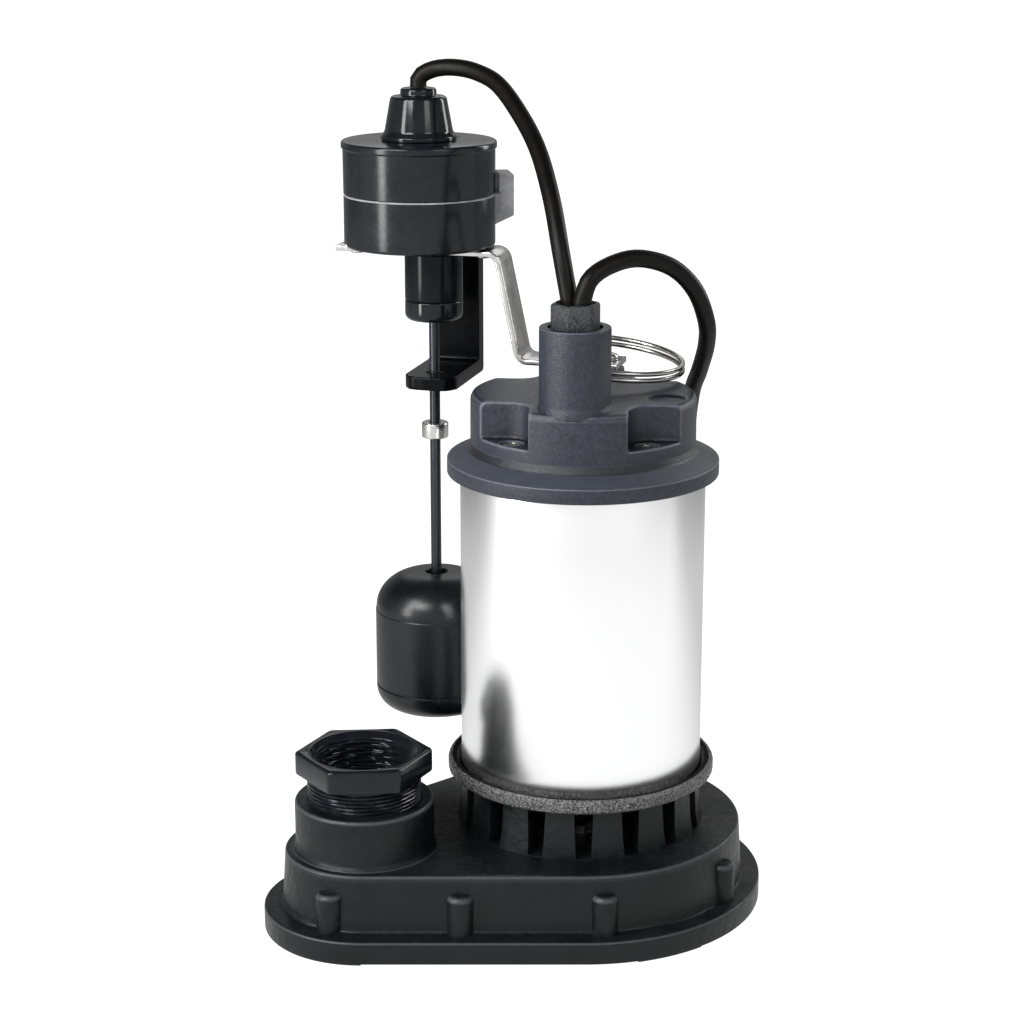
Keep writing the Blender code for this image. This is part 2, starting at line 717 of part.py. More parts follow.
def screw_boss(index, place):
    """A half-round boss with a domed top that stands out of the wall."""
    shoulder = SCREW_BOSS_TOP - SCREW_BOSS_RADIUS
    dome = arc((0.0, shoulder), SCREW_BOSS_RADIUS, 90.0, 0.0, 4)
    foot = FLANGE_HEIGHT - PAST
    profile = [(0.0, SCREW_BOSS_TOP), *dome[1:], (SCREW_BOSS_RADIUS, foot), (0.0, foot)]
    boss = turned("screw_boss_%d" % index, profile, SMALL)
    boss.location = (*place, 0.0)
    return boss


def foot_relief():
    """Shallow cuts under the flange that leave it standing on separate feet."""
    reach = WALL_RADIUS + FLANGE_REACH + PAST
    left = -DISCHARGE_LEFT
    spans = (
        ((left, -reach), (FRONT_FOOT_FROM, 0.0)),
        ((FRONT_FOOT_TO, -reach), (reach, WALL_RADIUS / 2)),
        ((left, WALL_RADIUS / 2), (WALL_RADIUS / 4, reach)),
    )
    for index, (low, high) in enumerate(spans):
        yield box("foot_relief_%d" % index, (*low, -PAST), (*high, FOOT_RELIEF))


def volute_base():
    """The cast base: flange, drafted wall, ledge, discharge boss, intake fins and the pump chamber."""
    drafted = WALL_DRAFT
    sections = [
        hull_section(FLANGE_REACH - FLANGE_EDGE / 2, 0.0),
        hull_section(FLANGE_REACH, FLANGE_EDGE),
        hull_section(FLANGE_REACH, FLANGE_HEIGHT - FLANGE_EDGE),
        hull_section(FLANGE_REACH - FLANGE_EDGE, FLANGE_HEIGHT),
        hull_section(drafted + ROOT_FILLET, FLANGE_HEIGHT + ROOT_FILLET / 8),
        hull_section(drafted, FLANGE_HEIGHT + ROOT_FILLET),
        hull_section(0.0, LEDGE_HEIGHT - LEDGE_EDGE),
        hull_section(-LEDGE_EDGE * 0.3, LEDGE_HEIGHT - LEDGE_EDGE * 0.3),
        hull_section(-LEDGE_EDGE, LEDGE_HEIGHT),
    ]
    base = lofted("volute_base", sections)

    top = BOSS_TOP
    boss = turned("discharge_boss", [
        (0.0, top),
        (BOSS_RADIUS - BOSS_EDGE, top),
        (BOSS_RADIUS - BOSS_EDGE * 0.3, top - BOSS_EDGE * 0.3),
        (BOSS_RADIUS, top - BOSS_EDGE),
        (BOSS_RADIUS, LEDGE_HEIGHT + BOSS_FLARE),
        (BOSS_RADIUS + BOSS_FLARE, LEDGE_HEIGHT),
        (BOSS_RADIUS + BOSS_FLARE, LEDGE_HEIGHT - PAST),
        (0.0, LEDGE_HEIGHT - PAST),
    ], LARGE)
    boss.location = (*DISCHARGE_AT, 0.0)
    add(base, boss)
    for index, place in enumerate(wall_stations(0.0)):
        add(base, screw_boss(index, place))
    add(base, fin_crown())

    recess = FLANGE_REACH - PLATE_RIM
    recess_ends = (-PAST, PLATE_THICKNESS + FIT)
    cut(base, lofted("plate_recess", [hull_section(recess, height) for height in recess_ends]))
    chamber_ends = (PLATE_THICKNESS, CHAMBER_TOP)
    cut(base, lofted("pump_chamber", [hull_section(-WALL_THICKNESS, height) for height in chamber_ends]))
    cut(base, cylinder("impeller_eye", EYE_RADIUS, CHAMBER_TOP - PAST, LEDGE_HEIGHT + PAST, MIDDLE))
    shoulder = BUSHING_BOTTOM - PAST
    passage = turned("discharge_passage", [
        (0.0, top + PAST),
        (BUSHING_THREAD_RADIUS + FIT, top + PAST),
        (BUSHING_THREAD_RADIUS + FIT, shoulder),
        (PASSAGE_RADIUS, shoulder),
        (PASSAGE_RADIUS, CHAMBER_TOP - PAST),
        (0.0, CHAMBER_TOP - PAST),
    ], MIDDLE)
    passage.location = (*DISCHARGE_AT, 0.0)
    cut(base, passage)
    cut(base, drills("plate_screw_threads", wall_stations(PLATE_SCREW_INSET), PLATE_SCREW_RADIUS + FIT,
                     PLATE_THICKNESS, PLATE_SCREW_LENGTH + PAST))
    cut(base, drills("motor_screw_ways", motor_screw_places(), MOTOR_SCREW_RADIUS + FIT,
                     CHAMBER_TOP - PAST, FINS_TOP + PAST))
    for relief in foot_relief():
        cut(base, relief)
    finish(base, "cast_paint")


def bottom_plate():
    """The plate that closes the chamber, flush with the feet, with sunk screws."""
    outline = hull_outline(FLANGE_REACH - PLATE_RIM - FIT)
    plate = extruded("bottom_plate", [outline], 0.0, PLATE_THICKNESS)
    places = wall_stations(PLATE_SCREW_INSET)
    head = PLATE_HEAD_HEIGHT + 2 * FIT
    cut(plate, drills("plate_head_seats", places, PLATE_HEAD_RADIUS + FIT, -PAST, head))
    cut(plate, drills("plate_screw_ways", places, PLATE_SCREW_RADIUS + FIT, -PAST, PLATE_THICKNESS + PAST))
    finish(plate, "cast_paint")
    for index, place in enumerate(places):
        screw = turned("plate_screw_%d" % (index + 1), [
            (0.0, PLATE_SCREW_LENGTH),
            (PLATE_SCREW_RADIUS, PLATE_SCREW_LENGTH),
            (PLATE_SCREW_RADIUS, PLATE_HEAD_HEIGHT + FIT),
            (PLATE_HEAD_RADIUS, PLATE_HEAD_HEIGHT + FIT),
            (PLATE_HEAD_RADIUS, FIT),
            (0.0, FIT),
        ], HIDDEN)
        screw.location = (*place, 0.0)
        finish(screw, "zinc_steel")


def discharge_bushing():
    """A reducing bushing: hexagon, outer thread and bore."""
    axis = frame("discharge_axis", (*DISCHARGE_AT, 0.0))
    bushing = hexagon("discharge_bushing", BUSHING_CORNER_RADIUS, BUSHING_HEX_BOTTOM, BUSHING_TOP,
                      BUSHING_YAW, BUSHING_EDGE)
    thread_top = BUSHING_HEX_BOTTOM + PAST
    add(bushing, cylinder("bushing_thread", BUSHING_THREAD_RADIUS, BUSHING_BOTTOM, thread_top, MIDDLE), axis)
    bore = turned("bushing_bore", [
        (0.0, BUSHING_TOP + PAST),
        (BUSHING_MOUTH_RADIUS, BUSHING_TOP + PAST),
        (BUSHING_MOUTH_RADIUS, BUSHING_TOP - BUSHING_MOUTH_DEPTH / 3),
        (BUSHING_BORE_RADIUS, BUSHING_TOP - BUSHING_MOUTH_DEPTH),
        (BUSHING_BORE_RADIUS, BUSHING_BOTTOM - PAST),
        (0.0, BUSHING_BOTTOM - PAST),
    ], MIDDLE)
    cut(bushing, bore, axis)
    finish(bushing, "gloss_plastic", axis)


def motor_screw_places():
    middle = FIN_TOP_RADIUS - FIN_DEPTH / 2
    angles = [FIRST_GAP + (fin + 0.5) * 360.0 / FIN_COUNT for fin in MOTOR_SCREW_FINS]
    return round_stations(middle, angles)


def bolt_places():
    lean = math.degrees(BOLT_BEARING)
    return round_stations(BOLT_CIRCLE, (lean, 180.0 - lean, 180.0 + lean, 360.0 - lean))


def motor_base_plate(cover_frame):
    """The ring under the can, with its spigot, bearing hub and seal hub."""
    floor = RING_BOTTOM + PLATE_FLOOR
    seal_bottom = RING_BOTTOM - SEAL_HUB_DROP
    seal_top = seal_bottom + SHAFT_SEAL_HEIGHT + 2 * FIT
    hub_top = LOWER_BEARING + BEARING_HEIGHT
    plate = turned("motor_base_plate", [
        (0.0, floor),
        (SPIGOT_INNER, floor),
        (SPIGOT_INNER, SPIGOT_TOP),
        (SPIGOT_RADIUS, SPIGOT_TOP),
        (SPIGOT_RADIUS, CAN_SEAT),
        (CAN_RADIUS + FIT, CAN_SEAT),
        (CAN_RADIUS + FIT, RING_TOP),
        (RING_RADIUS - RING_EDGE, RING_TOP),
        (RING_RADIUS, RING_TOP - RING_EDGE),
        (RING_RADIUS, RING_BOTTOM + RING_EDGE),
        (RING_RADIUS - RING_EDGE, RING_BOTTOM),
        (0.0, RING_BOTTOM),
    ], LARGE)
    add(plate, cylinder("bearing_hub", HUB_RADIUS, seal_bottom, hub_top, CORE))
    cut(plate, turned("shaft_ways", [
        (0.0, hub_top + PAST),
        (BEARING_RADIUS + FIT, hub_top + PAST),
        (BEARING_RADIUS + FIT, LOWER_BEARING - FIT),
        (SHAFT_BORE, LOWER_BEARING - FIT),
        (SHAFT_BORE, seal_top),
        (SHAFT_SEAL_RADIUS + FIT, seal_top),
        (SHAFT_SEAL_RADIUS + FIT, seal_bottom - PAST),
        (0.0, seal_bottom - PAST),
    ], CORE))
    cut(plate, drills("bolt_threads", bolt_places(), BOLT_RADIUS + FIT, SPIGOT_TOP - BOLT_BITE - PAST,
                      SPIGOT_TOP + PAST), cover_frame)
    cut(plate, drills("motor_screw_threads", motor_screw_places(), MOTOR_SCREW_RADIUS + FIT,
                      RING_BOTTOM - PAST, floor - PAST / 2))
    finish(plate, "rough_iron")

    seal = turned("shaft_seal", [
        (SHAFT_SEAL_RADIUS, seal_top - FIT),
        (SHAFT_SEAL_RADIUS, seal_bottom + FIT),
        (SHAFT_BORE, seal_bottom + FIT),
        (SHAFT_BORE, seal_top - FIT),
    ], CORE)
    finish(seal, "seal_rubber")
    bottom = CHAMBER_TOP - FIT
    top = floor - PAST / 2 - FIT
    for index, place in enumerate(motor_screw_places()):
        screw = turned("motor_screw_%d" % (index + 1), [
            (0.0, top),
            (MOTOR_SCREW_RADIUS, top),
            (MOTOR_SCREW_RADIUS, bottom),
            (MOTOR_HEAD_RADIUS, bottom),
            (MOTOR_HEAD_RADIUS, bottom - MOTOR_HEAD_HEIGHT),
            (0.0, bottom - MOTOR_HEAD_HEIGHT),
        ], HIDDEN)
        screw.location = (*place, 0.0)
        finish(screw, "zinc_steel")


def motor_can():
    """The polished tube, with a gasket at each end."""
    can = turned("motor_can", [
        (CAN_RADIUS, CAN_TOP),
        (CAN_RADIUS, CAN_BOTTOM),
        (CAN_INNER, CAN_BOTTOM),
        (CAN_INNER, CAN_TOP),
    ], LARGE * 3 // 2)
    finish(can, "polished_steel")
    for name, bottom in (("lower_can_gasket", CAN_SEAT + FIT), ("upper_can_gasket", CAN_TOP + FIT)):
        gasket = turned(name, [
            (CAN_RADIUS, bottom + GASKET_THICKNESS),
            (CAN_RADIUS, bottom),
            (CAN_INNER, bottom),
            (CAN_INNER, bottom + GASKET_THICKNESS),
        ], LARGE)
        finish(gasket, "seal_rubber")


def bearing(name, bottom):
    race = turned(name, [
        (BEARING_RADIUS, bottom + BEARING_HEIGHT),
        (BEARING_RADIUS, bottom),
        (SHAFT_BORE, bottom),
        (SHAFT_BORE, bottom + BEARING_HEIGHT),
    ], CORE)
    finish(race, "lamination")


def stator(cover_frame):
    """The fixed half of the motor: a laminated core pressed in the can, with a winding at each end."""
    bottom = RING_TOP + STATOR_ABOVE_RING
    top = bottom + STATOR_HEIGHT
    core = turned("stator_core", [
        (SPIGOT_RADIUS, top),
        (SPIGOT_RADIUS, bottom),
        (STATOR_BORE, bottom),
        (STATOR_BORE, top),
    ], LARGE)
    ways = drills("bolt_ways", bolt_places(), BOLT_RADIUS + 2 * FIT, bottom - PAST, top + PAST)
    cut(core, ways, cover_frame)
    finish(core, "lamination")
    middle = (WINDING_INNER + WINDING_RADIUS) / 2
    thick = WINDING_WIDTH / 2
    for name, seat, way in (("upper_winding", top + FIT, 1.0), ("lower_winding", bottom - FIT, -1.0)):
        crown = seat + way * WINDING_HEIGHT
        shoulder = seat + way * WINDING_HEIGHT * 0.6
        loop = [
            (middle + thick * 0.4, crown),
            (WINDING_RADIUS, shoulder),
            (WINDING_RADIUS, seat),
            (WINDING_INNER, seat),
            (WINDING_INNER, shoulder),
            (middle - thick * 0.4, crown),
        ]
        if way < 0.0:
            loop = loop[::-1]
        finish(turned(name, loop, CORE), "copper")


def vane_outline(turn):
    """One backward-curved vane, seen from above."""
    count = 6
    fractions = np.linspace(0.0, 1.0, count)
    radii = IMPELLER_HUB_RADIUS - FIT * 4 + (IMPELLER_RADIUS - FIT - IMPELLER_HUB_RADIUS) * fractions
    angles = turn - VANE_SWEEP * fractions
    spine = np.stack([radii * np.cos(angles), radii * np.sin(angles)], axis=1)
    along = np.gradient(spine, axis=0)
    along /= np.linalg.norm(along, axis=1, keepdims=True)
    across = np.stack([-along[:, 1], along[:, 0]], axis=1) * VANE_THICKNESS / 2
    return [tuple(point) for point in (spine - across)] + [tuple(point) for point in (spine + across)[::-1]]


def rotor():
    """What turns: the shaft, the rotor core on it and the impeller at its foot."""
    axis = frame("rotor_axis", (0.0, 0.0, 0.0))
    shaft = cylinder("motor_shaft", SHAFT_RADIUS, SHAFT_BOTTOM, SHAFT_TOP, CORE)
    finish(shaft, "zinc_steel", axis)
    middle = RING_TOP + STATOR_ABOVE_RING + STATOR_HEIGHT / 2
    core = turned("rotor_core", [
        (STATOR_BORE - AIR_GAP, middle + ROTOR_LENGTH / 2),
        (STATOR_BORE - AIR_GAP, middle - ROTOR_LENGTH / 2),
        (SHAFT_BORE, middle - ROTOR_LENGTH / 2),
        (SHAFT_BORE, middle + ROTOR_LENGTH / 2),
    ], CORE)
    finish(core, "lamination", axis)

    foot = PLATE_THICKNESS + IMPELLER_LIFT
    disc = foot + SHROUD_THICKNESS
    crown = foot + IMPELLER_HUB_HEIGHT
    blind = SHAFT_BOTTOM - FIT
    wheel = turned("impeller", [
        (IMPELLER_HUB_RADIUS, crown),
        (IMPELLER_HUB_RADIUS, disc + IMPELLER_FILLET),
        (IMPELLER_HUB_RADIUS + IMPELLER_FILLET, disc),
        (IMPELLER_RADIUS, disc),
        (IMPELLER_RADIUS, foot),
        (0.0, foot),
        (0.0, blind),
        (SHAFT_BORE, blind),
        (SHAFT_BORE, crown),
    ], MIDDLE)
    outlines = [vane_outline(math.tau * index / VANE_COUNT) for index in range(VANE_COUNT)]
    add(wheel, extruded("impeller_vanes", outlines, disc - FIT * 3, disc + VANE_HEIGHT), axis)
    finish(wheel, "satin_plastic", axis)


def pocket_outline(side, end):
    """A corner pocket of the cover, seen from above: side is left or right, end is front or back."""
    far = RIM_RADIUS + PAST
    inner = (POCKET_SIDE + POCKET_CORNER, POCKET_BACK + POCKET_CORNER)
    bend = arc(inner, POCKET_CORNER, 180.0, 270.0, 4)
    outline = [(POCKET_SIDE, far), *bend, (far, POCKET_BACK), (far, far)]
    outline = [(side * x, end * y) for x, y in outline]
    return outline if side * end > 0 else outline[::-1]


def strap_screw_places():
    """World places of the two screws that hold the strap's foot."""
    along = Vector((math.cos(SWITCH_YAW), math.sin(SWITCH_YAW)))
    foot = Vector(STRAP_FOOT_AT)
    return [tuple(foot + along * STRAP_SCREW_PITCH * side / 2) for side in (-1.0, 1.0)]


def top_cover(cover_frame):
    """The cast cover: rim, shoulder, body, corner pockets, riser, lug and strap bosses."""
    edge = arc((COVER_RADIUS - COVER_EDGE, COVER_TOP - COVER_EDGE), COVER_EDGE, 90.0, 0.0, 4)
    shoulder = RIM_TOP + SHOULDER_RISE
    roof = COVER_TOP - COVER_TOP_THICKNESS
    cover = turned("top_cover", [
        (0.0, COVER_TOP),
        *edge,
        (COVER_RADIUS + SHOULDER_RISE / 10, shoulder + SHOULDER_RISE / 2),
        (COVER_RADIUS + SHOULDER_RISE / 2, shoulder),
        (RIM_RADIUS - RIM_EDGE, RIM_TOP),
        (RIM_RADIUS, RIM_TOP - RIM_EDGE),
        (RIM_RADIUS, RIM_BOTTOM + RIM_EDGE / 2),
        (RIM_RADIUS - RIM_EDGE / 2, RIM_BOTTOM),
        (CAN_RADIUS + FIT, RIM_BOTTOM),
        (CAN_RADIUS + FIT, GROOVE_TOP),
        (SPIGOT_RADIUS, GROOVE_TOP),
        (SPIGOT_RADIUS, COVER_SPIGOT),
        (CAVITY_RADIUS, COVER_SPIGOT),
        (CAVITY_RADIUS, RIM_TOP),
        (0.0, RIM_TOP),
    ], LARGE)
    cut(cover, turned("cover_headroom", [
        (HEADROOM_RADIUS, roof),
        (HEADROOM_RADIUS, RIM_TOP - PAST),
        (HUB_RADIUS, RIM_TOP - PAST),
        (HUB_RADIUS, roof),
    ], CORE))
    bearing_top = UPPER_BEARING + BEARING_HEIGHT + 2 * FIT
    cut(cover, turned("upper_shaft_ways", [
        (0.0, SHAFT_TOP + FIT),
        (SHAFT_BORE, SHAFT_TOP + FIT),
        (SHAFT_BORE, bearing_top),
        (BEARING_RADIUS + FIT, bearing_top),
        (BEARING_RADIUS + FIT, RIM_TOP - PAST),
        (0.0, RIM_TOP - PAST),
    ], CORE))
    pockets = [pocket_outline(side, end) for side in (-1, 1) for end in (-1, 1)]
    cut(cover, extruded("corner_pockets", pockets, POCKET_FLOOR, COVER_TOP + PAST), cover_frame)

    foot = COVER_TOP - PAST
    riser = turned("cord_riser", [
        (0.0, RISER_TOP),
        (RISER_RADIUS - RIM_EDGE / 2, RISER_TOP),
        (RISER_RADIUS, RISER_TOP - RIM_EDGE / 2),
        (RISER_RADIUS, COVER_TOP + RISER_FILLET),
        (RISER_RADIUS + RISER_FILLET * 0.3, COVER_TOP + RISER_FILLET * 0.3),
        (RISER_RADIUS + RISER_FILLET, COVER_TOP + FIT / 10),
        (RISER_RADIUS + RISER_FILLET, foot),
        (0.0, foot),
    ], MIDDLE)
    riser.location = (*RISER_AT, 0.0)
    add(cover, riser, cover_frame)
    for index, place in enumerate(strap_screw_places()):
        boss_top = COVER_TOP + STRAP_BOSS_HEIGHT
        add(cover, cylinder("strap_boss_%d" % index, STRAP_BOSS_RADIUS, foot, boss_top, SMALL, place))
    lug_x, lug_y = LUG_AT
    half = LUG_THICKNESS / 2
    stem_low = (lug_x - half, lug_y - LUG_RADIUS, foot)
    stem_high = (lug_x + half, lug_y + LUG_RADIUS, LUG_CENTRE)
    add(cover, box("lug_stem", stem_low, stem_high))
    eye = cylinder("lug_eye", LUG_RADIUS - INSIDE, -half + INSIDE, half - INSIDE, CORE)
    hole = cylinder("lug_hole", LUG_HOLE_RADIUS, -half - PAST, half + PAST, SMALL)
    for tool in (eye, hole):
        tool.rotation_euler = (0.0, math.radians(90.0), 0.0)
        tool.location = (lug_x, lug_y, LUG_CENTRE)
    add(cover, eye)
    cut(cover, hole)

    thread = NUT_THREAD_RADIUS + FIT
    ways = turned("riser_bore", [
        (0.0, RISER_TOP + PAST),
        (RISER_MOUTH, RISER_TOP + PAST),
        (RISER_MOUTH, RISER_TOP - MOUTH_DEPTH),
        (thread, RISER_TOP - MOUTH_DEPTH),
        (thread, RIM_TOP - PAST),
        (0.0, RIM_TOP - PAST),
    ], CORE)
    ways.location = (*RISER_AT, 0.0)
    cut(cover, ways, cover_frame)
    dimple_floor = COVER_TOP - DIMPLE_DEPTH
    dimple = cylinder("top_dimple", DIMPLE_RADIUS, dimple_floor, COVER_TOP + PAST, CORE, DIMPLE_AT)
    cut(cover, dimple, cover_frame)
    cut(cover, drills("bolt_holes", bolt_places(), BOLT_RADIUS + FIT, RIM_TOP - PAST, BOLT_SEAT + PAST),
        cover_frame)
    cut(cover, drills("bolt_seats", bolt_places(), BOLT_HEAD_RADIUS + BOLT_SEAT_CLEAR, BOLT_SEAT,
                      POCKET_FLOOR + PAST, CORE), cover_frame)
    cut(cover, drills("strap_screw_threads", strap_screw_places(), STRAP_SCREW_RADIUS + FIT,
                      STRAP_LOW + STRAP_THICKNESS - STRAP_SCREW_LENGTH, STRAP_LOW))
    finish(cover, "powder_coat", cover_frame)


def cover_bolts(cover_frame):
    """Long bolts that draw the cover down on the can."""
    seat = BOLT_SEAT + FIT
    end = SPIGOT_TOP - BOLT_BITE
    for index, place in enumerate(bolt_places()):
        bolt = turned("cover_bolt_%d" % (index + 1), [
            (0.0, seat + BOLT_HEAD_HEIGHT),
            (BOLT_HEAD_RADIUS * 0.75, seat + BOLT_HEAD_HEIGHT),
            (BOLT_HEAD_RADIUS, seat + BOLT_HEAD_HEIGHT * 0.6),
            (BOLT_HEAD_RADIUS, seat),
            (BOLT_RADIUS, seat),
            (BOLT_RADIUS, end),
            (0.0, end),
        ], SMALL)
        bolt.location = (*place, 0.0)
        finish(bolt, "zinc_steel", cover_frame)


def gland(cover_frame):
    """The nut in the riser's mouth and the rubber that grips the two cords."""
    axis = frame("gland_axis", (*RISER_AT, 0.0), 0.0, cover_frame)
    nut = hexagon("gland_nut", NUT_CORNER_RADIUS, NUT_BOTTOM, NUT_TOP, NUT_YAW, NUT_EDGE)
    bottom = NUT_BOTTOM - NUT_THREAD_LENGTH
    add(nut, cylinder("nut_thread", NUT_THREAD_RADIUS, bottom, NUT_BOTTOM + PAST, MIDDLE), axis)
    cut(nut, cylinder("nut_bore", NUT_BORE_RADIUS, bottom - PAST, NUT_TOP + PAST, MIDDLE), axis)
    finish(nut, "rough_iron", axis)
    grommet_foot = GROMMET_TOP - GROMMET_HEIGHT
    grommet = cylinder("gland_grommet", NUT_BORE_RADIUS - FIT, grommet_foot, GROMMET_TOP, MIDDLE)
    finish(grommet, "seal_rubber", axis)


def bent_strip(corners, thickness, radius):
    """The side view of a flat bar bent at its inner corners: both faces, one after the other."""
    upper = []
    lower = []
    points = [Vector(corner) for corner in corners]
    for index, point in enumerate(points):
        if index in (0, len(points) - 1):
            ahead = (points[1] - point) if index == 0 else (point - points[-2])
            normal = Vector((-ahead.y, ahead.x)).normalized() * thickness / 2
            upper.append(point + normal)
            lower.append(point - normal)
            continue
        before = (point - points[index - 1]).normalized()
        after = (points[index + 1] - point).normalized()
        turn = before.angle_signed(after)
        side = -1.0 if turn > 0.0 else 1.0
        inward = Vector((-before.y, before.x)) * side
        centre = point - before * radius * math.tan(abs(turn) / 2) + inward * radius
        start = math.atan2(-inward.y, -inward.x)
        for angle in np.linspace(start, start - turn, 6):
            spoke = Vector((math.cos(angle), math.sin(angle)))
            outer = centre + spoke * (radius + thickness / 2)
            inner = centre + spoke * (radius - thickness / 2)
            upper.append(inner if side > 0.0 else outer)
            lower.append(outer if side > 0.0 else inner)
    return [tuple(point) for point in upper + lower[::-1]]


def mounting_strap(switch):
    """The bright bar from under the switch, down its leg and along the cover's back."""
    high = STRAP_HIGH + STRAP_THICKNESS / 2
    low = STRAP_LOW + STRAP_THICKNESS / 2
    corners = (
        (-STRAP_LEFT, high),
        (STRAP_TOP_BEND, high),
        (STRAP_REACH - STRAP_LOW_BEND, low),
        (STRAP_REACH + STRAP_TAB, low),
    )
    side = bent_strip(corners, STRAP_THICKNESS, STRAP_BEND)
    upright = Matrix.Rotation(math.radians(90.0), 4, "X")
    strap = extruded("mounting_strap", [side], -STRAP_WIDTH / 2, STRAP_WIDTH / 2, upright)
    holes = [(STRAP_REACH + STRAP_SCREW_PITCH * end / 2, 0.0) for end in (-1.0, 1.0)]
    cut(strap, drills("strap_screw_ways", holes, STRAP_SCREW_RADIUS + FIT, STRAP_LOW - PAST,
                      STRAP_LOW + STRAP_THICKNESS + PAST), switch)
    rivets = [(RIVET_AT * end, 0.0) for end in (-1.0, 1.0)]
    cut(strap, drills("strap_rivet_ways", rivets, RIVET_RADIUS + FIT, STRAP_HIGH - PAST,
                      STRAP_HIGH + STRAP_THICKNESS + PAST), switch)
    finish(strap, "zinc_steel", switch)

    top = STRAP_LOW + STRAP_THICKNESS + FIT
    end = top - STRAP_SCREW_LENGTH
    for index, place in enumerate(holes):
        screw = turned("strap_screw_%d" % (index + 1), [
            (0.0, top + STRAP_HEAD_HEIGHT),
            (STRAP_HEAD_RADIUS * 0.6, top + STRAP_HEAD_HEIGHT),
            (STRAP_HEAD_RADIUS, top + STRAP_HEAD_HEIGHT * 0.5),
            (STRAP_HEAD_RADIUS, top),
            (STRAP_SCREW_RADIUS, top),
            (STRAP_SCREW_RADIUS, end + 2 * FIT),
            (0.0, end + 2 * FIT),
        ], SMALL)
        screw.location = (*place, 0.0)
        finish(screw, "zinc_steel", switch)
    under = STRAP_HIGH - FIT
    for index, place in enumerate(rivets):
        rivet = turned("housing_rivet_%d" % (index + 1), [
            (0.0, HOUSING_BOTTOM + HOUSING_FLOOR * 0.7),
            (RIVET_RADIUS, HOUSING_BOTTOM + HOUSING_FLOOR * 0.7),
            (RIVET_RADIUS, under),
            (RIVET_HEAD_RADIUS, under),
            (RIVET_HEAD_RADIUS * 0.8, under - RIVET_HEAD_HEIGHT * 0.7),
            (RIVET_HEAD_RADIUS * 0.4, under - RIVET_HEAD_HEIGHT),
            (0.0, under - RIVET_HEAD_HEIGHT),
        ], SMALL)
        rivet.location = (*place, 0.0)
        finish(rivet, "zinc_steel", switch)


def switch_housing(switch):
    """The two-part round case, its side ear, the reed switch inside and the cord boot on top."""
    inner = HOUSING_RADIUS - HOUSING_WALL
    floor = HOUSING_BOTTOM + HOUSING_FLOOR
    lower = turned("switch_housing_lower", [
        (HOUSING_RADIUS, HOUSING_SEAM),
        (HOUSING_RADIUS, HOUSING_BOTTOM + LID_EDGE),
        (HOUSING_RADIUS - LID_EDGE, HOUSING_BOTTOM),
        (0.0, HOUSING_BOTTOM),
        (0.0, floor),
        (inner, floor),
        (inner, HOUSING_SEAM),
    ], LARGE)
    rivets = [(RIVET_AT * end, 0.0) for end in (-1.0, 1.0)]
    holes = drills("housing_rivet_holes", rivets, RIVET_RADIUS + FIT, HOUSING_BOTTOM - PAST, floor + PAST)
    cut(lower, holes, switch)
    root = HOUSING_RADIUS - HOUSING_WALL / 2
    clear = HOUSING_UPPER_RADIUS + FIT
    reach = clear + EAR_REACH
    ear_bottom = HOUSING_BOTTOM + EAR_LIFT
    ear_top = ear_bottom + EAR_HEIGHT
    side = [
        (root, ear_bottom),
        (reach, ear_bottom + EAR_SLANT),
        (reach, ear_top),
        (clear, ear_top),
        (clear, HOUSING_SEAM - FIT),
        (root, HOUSING_SEAM - FIT),
    ]
    stand = Matrix.Rotation(EAR_BEARING, 4, "Z") @ Matrix.Rotation(math.radians(90.0), 4, "X")
    add(lower, extruded("housing_ear", [side], -EAR_WIDTH / 2, EAR_WIDTH / 2, stand), switch)
    finish(lower, "satin_plastic", switch)

    seam = HOUSING_SEAM + FIT
    roof = LID_TOP - HOUSING_FLOOR
    bulge = HOUSING_UPPER_RADIUS - HOUSING_RADIUS
    upper = turned("switch_housing_upper", [
        (0.0, LID_TOP),
        (HOUSING_UPPER_RADIUS - LID_EDGE, LID_TOP),
        (HOUSING_UPPER_RADIUS, LID_TOP - LID_EDGE / 2),
        (HOUSING_UPPER_RADIUS, LID_TOP - 2 * LID_EDGE),
        (HOUSING_UPPER_RADIUS - bulge * 0.4, LID_TOP - 2.4 * LID_EDGE),
        (HOUSING_RADIUS, seam),
        (inner, seam),
        (inner, roof),
        (0.0, roof),
    ], LARGE)
    finish(upper, "satin_plastic", switch)

    half = Vector(REED_SIZE) / 2
    seat = floor + FIT
    reed = box("reed_switch", (-half.x, -half.y, seat), (half.x, half.y, seat + REED_SIZE[2]))
    finish(reed, "seal_rubber", switch)

    neck = BOOT_BOTTOM + BOOT_HEIGHT
    boot = turned("cord_boot", [
        (0.0, BOOT_TOP),
        (BOOT_NECK_RADIUS - RIM_EDGE / 2, BOOT_TOP),
        (BOOT_NECK_RADIUS, BOOT_TOP - RIM_EDGE / 2),
        (BOOT_NECK_RADIUS, neck),
        (BOOT_SHOULDER_RADIUS - RIM_EDGE, neck),
        (BOOT_SHOULDER_RADIUS, neck - RIM_EDGE),
        (BOOT_RADIUS, BOOT_BOTTOM),
        (0.0, BOOT_BOTTOM),
    ], MIDDLE)
    finish(boot, "gloss_plastic", switch)


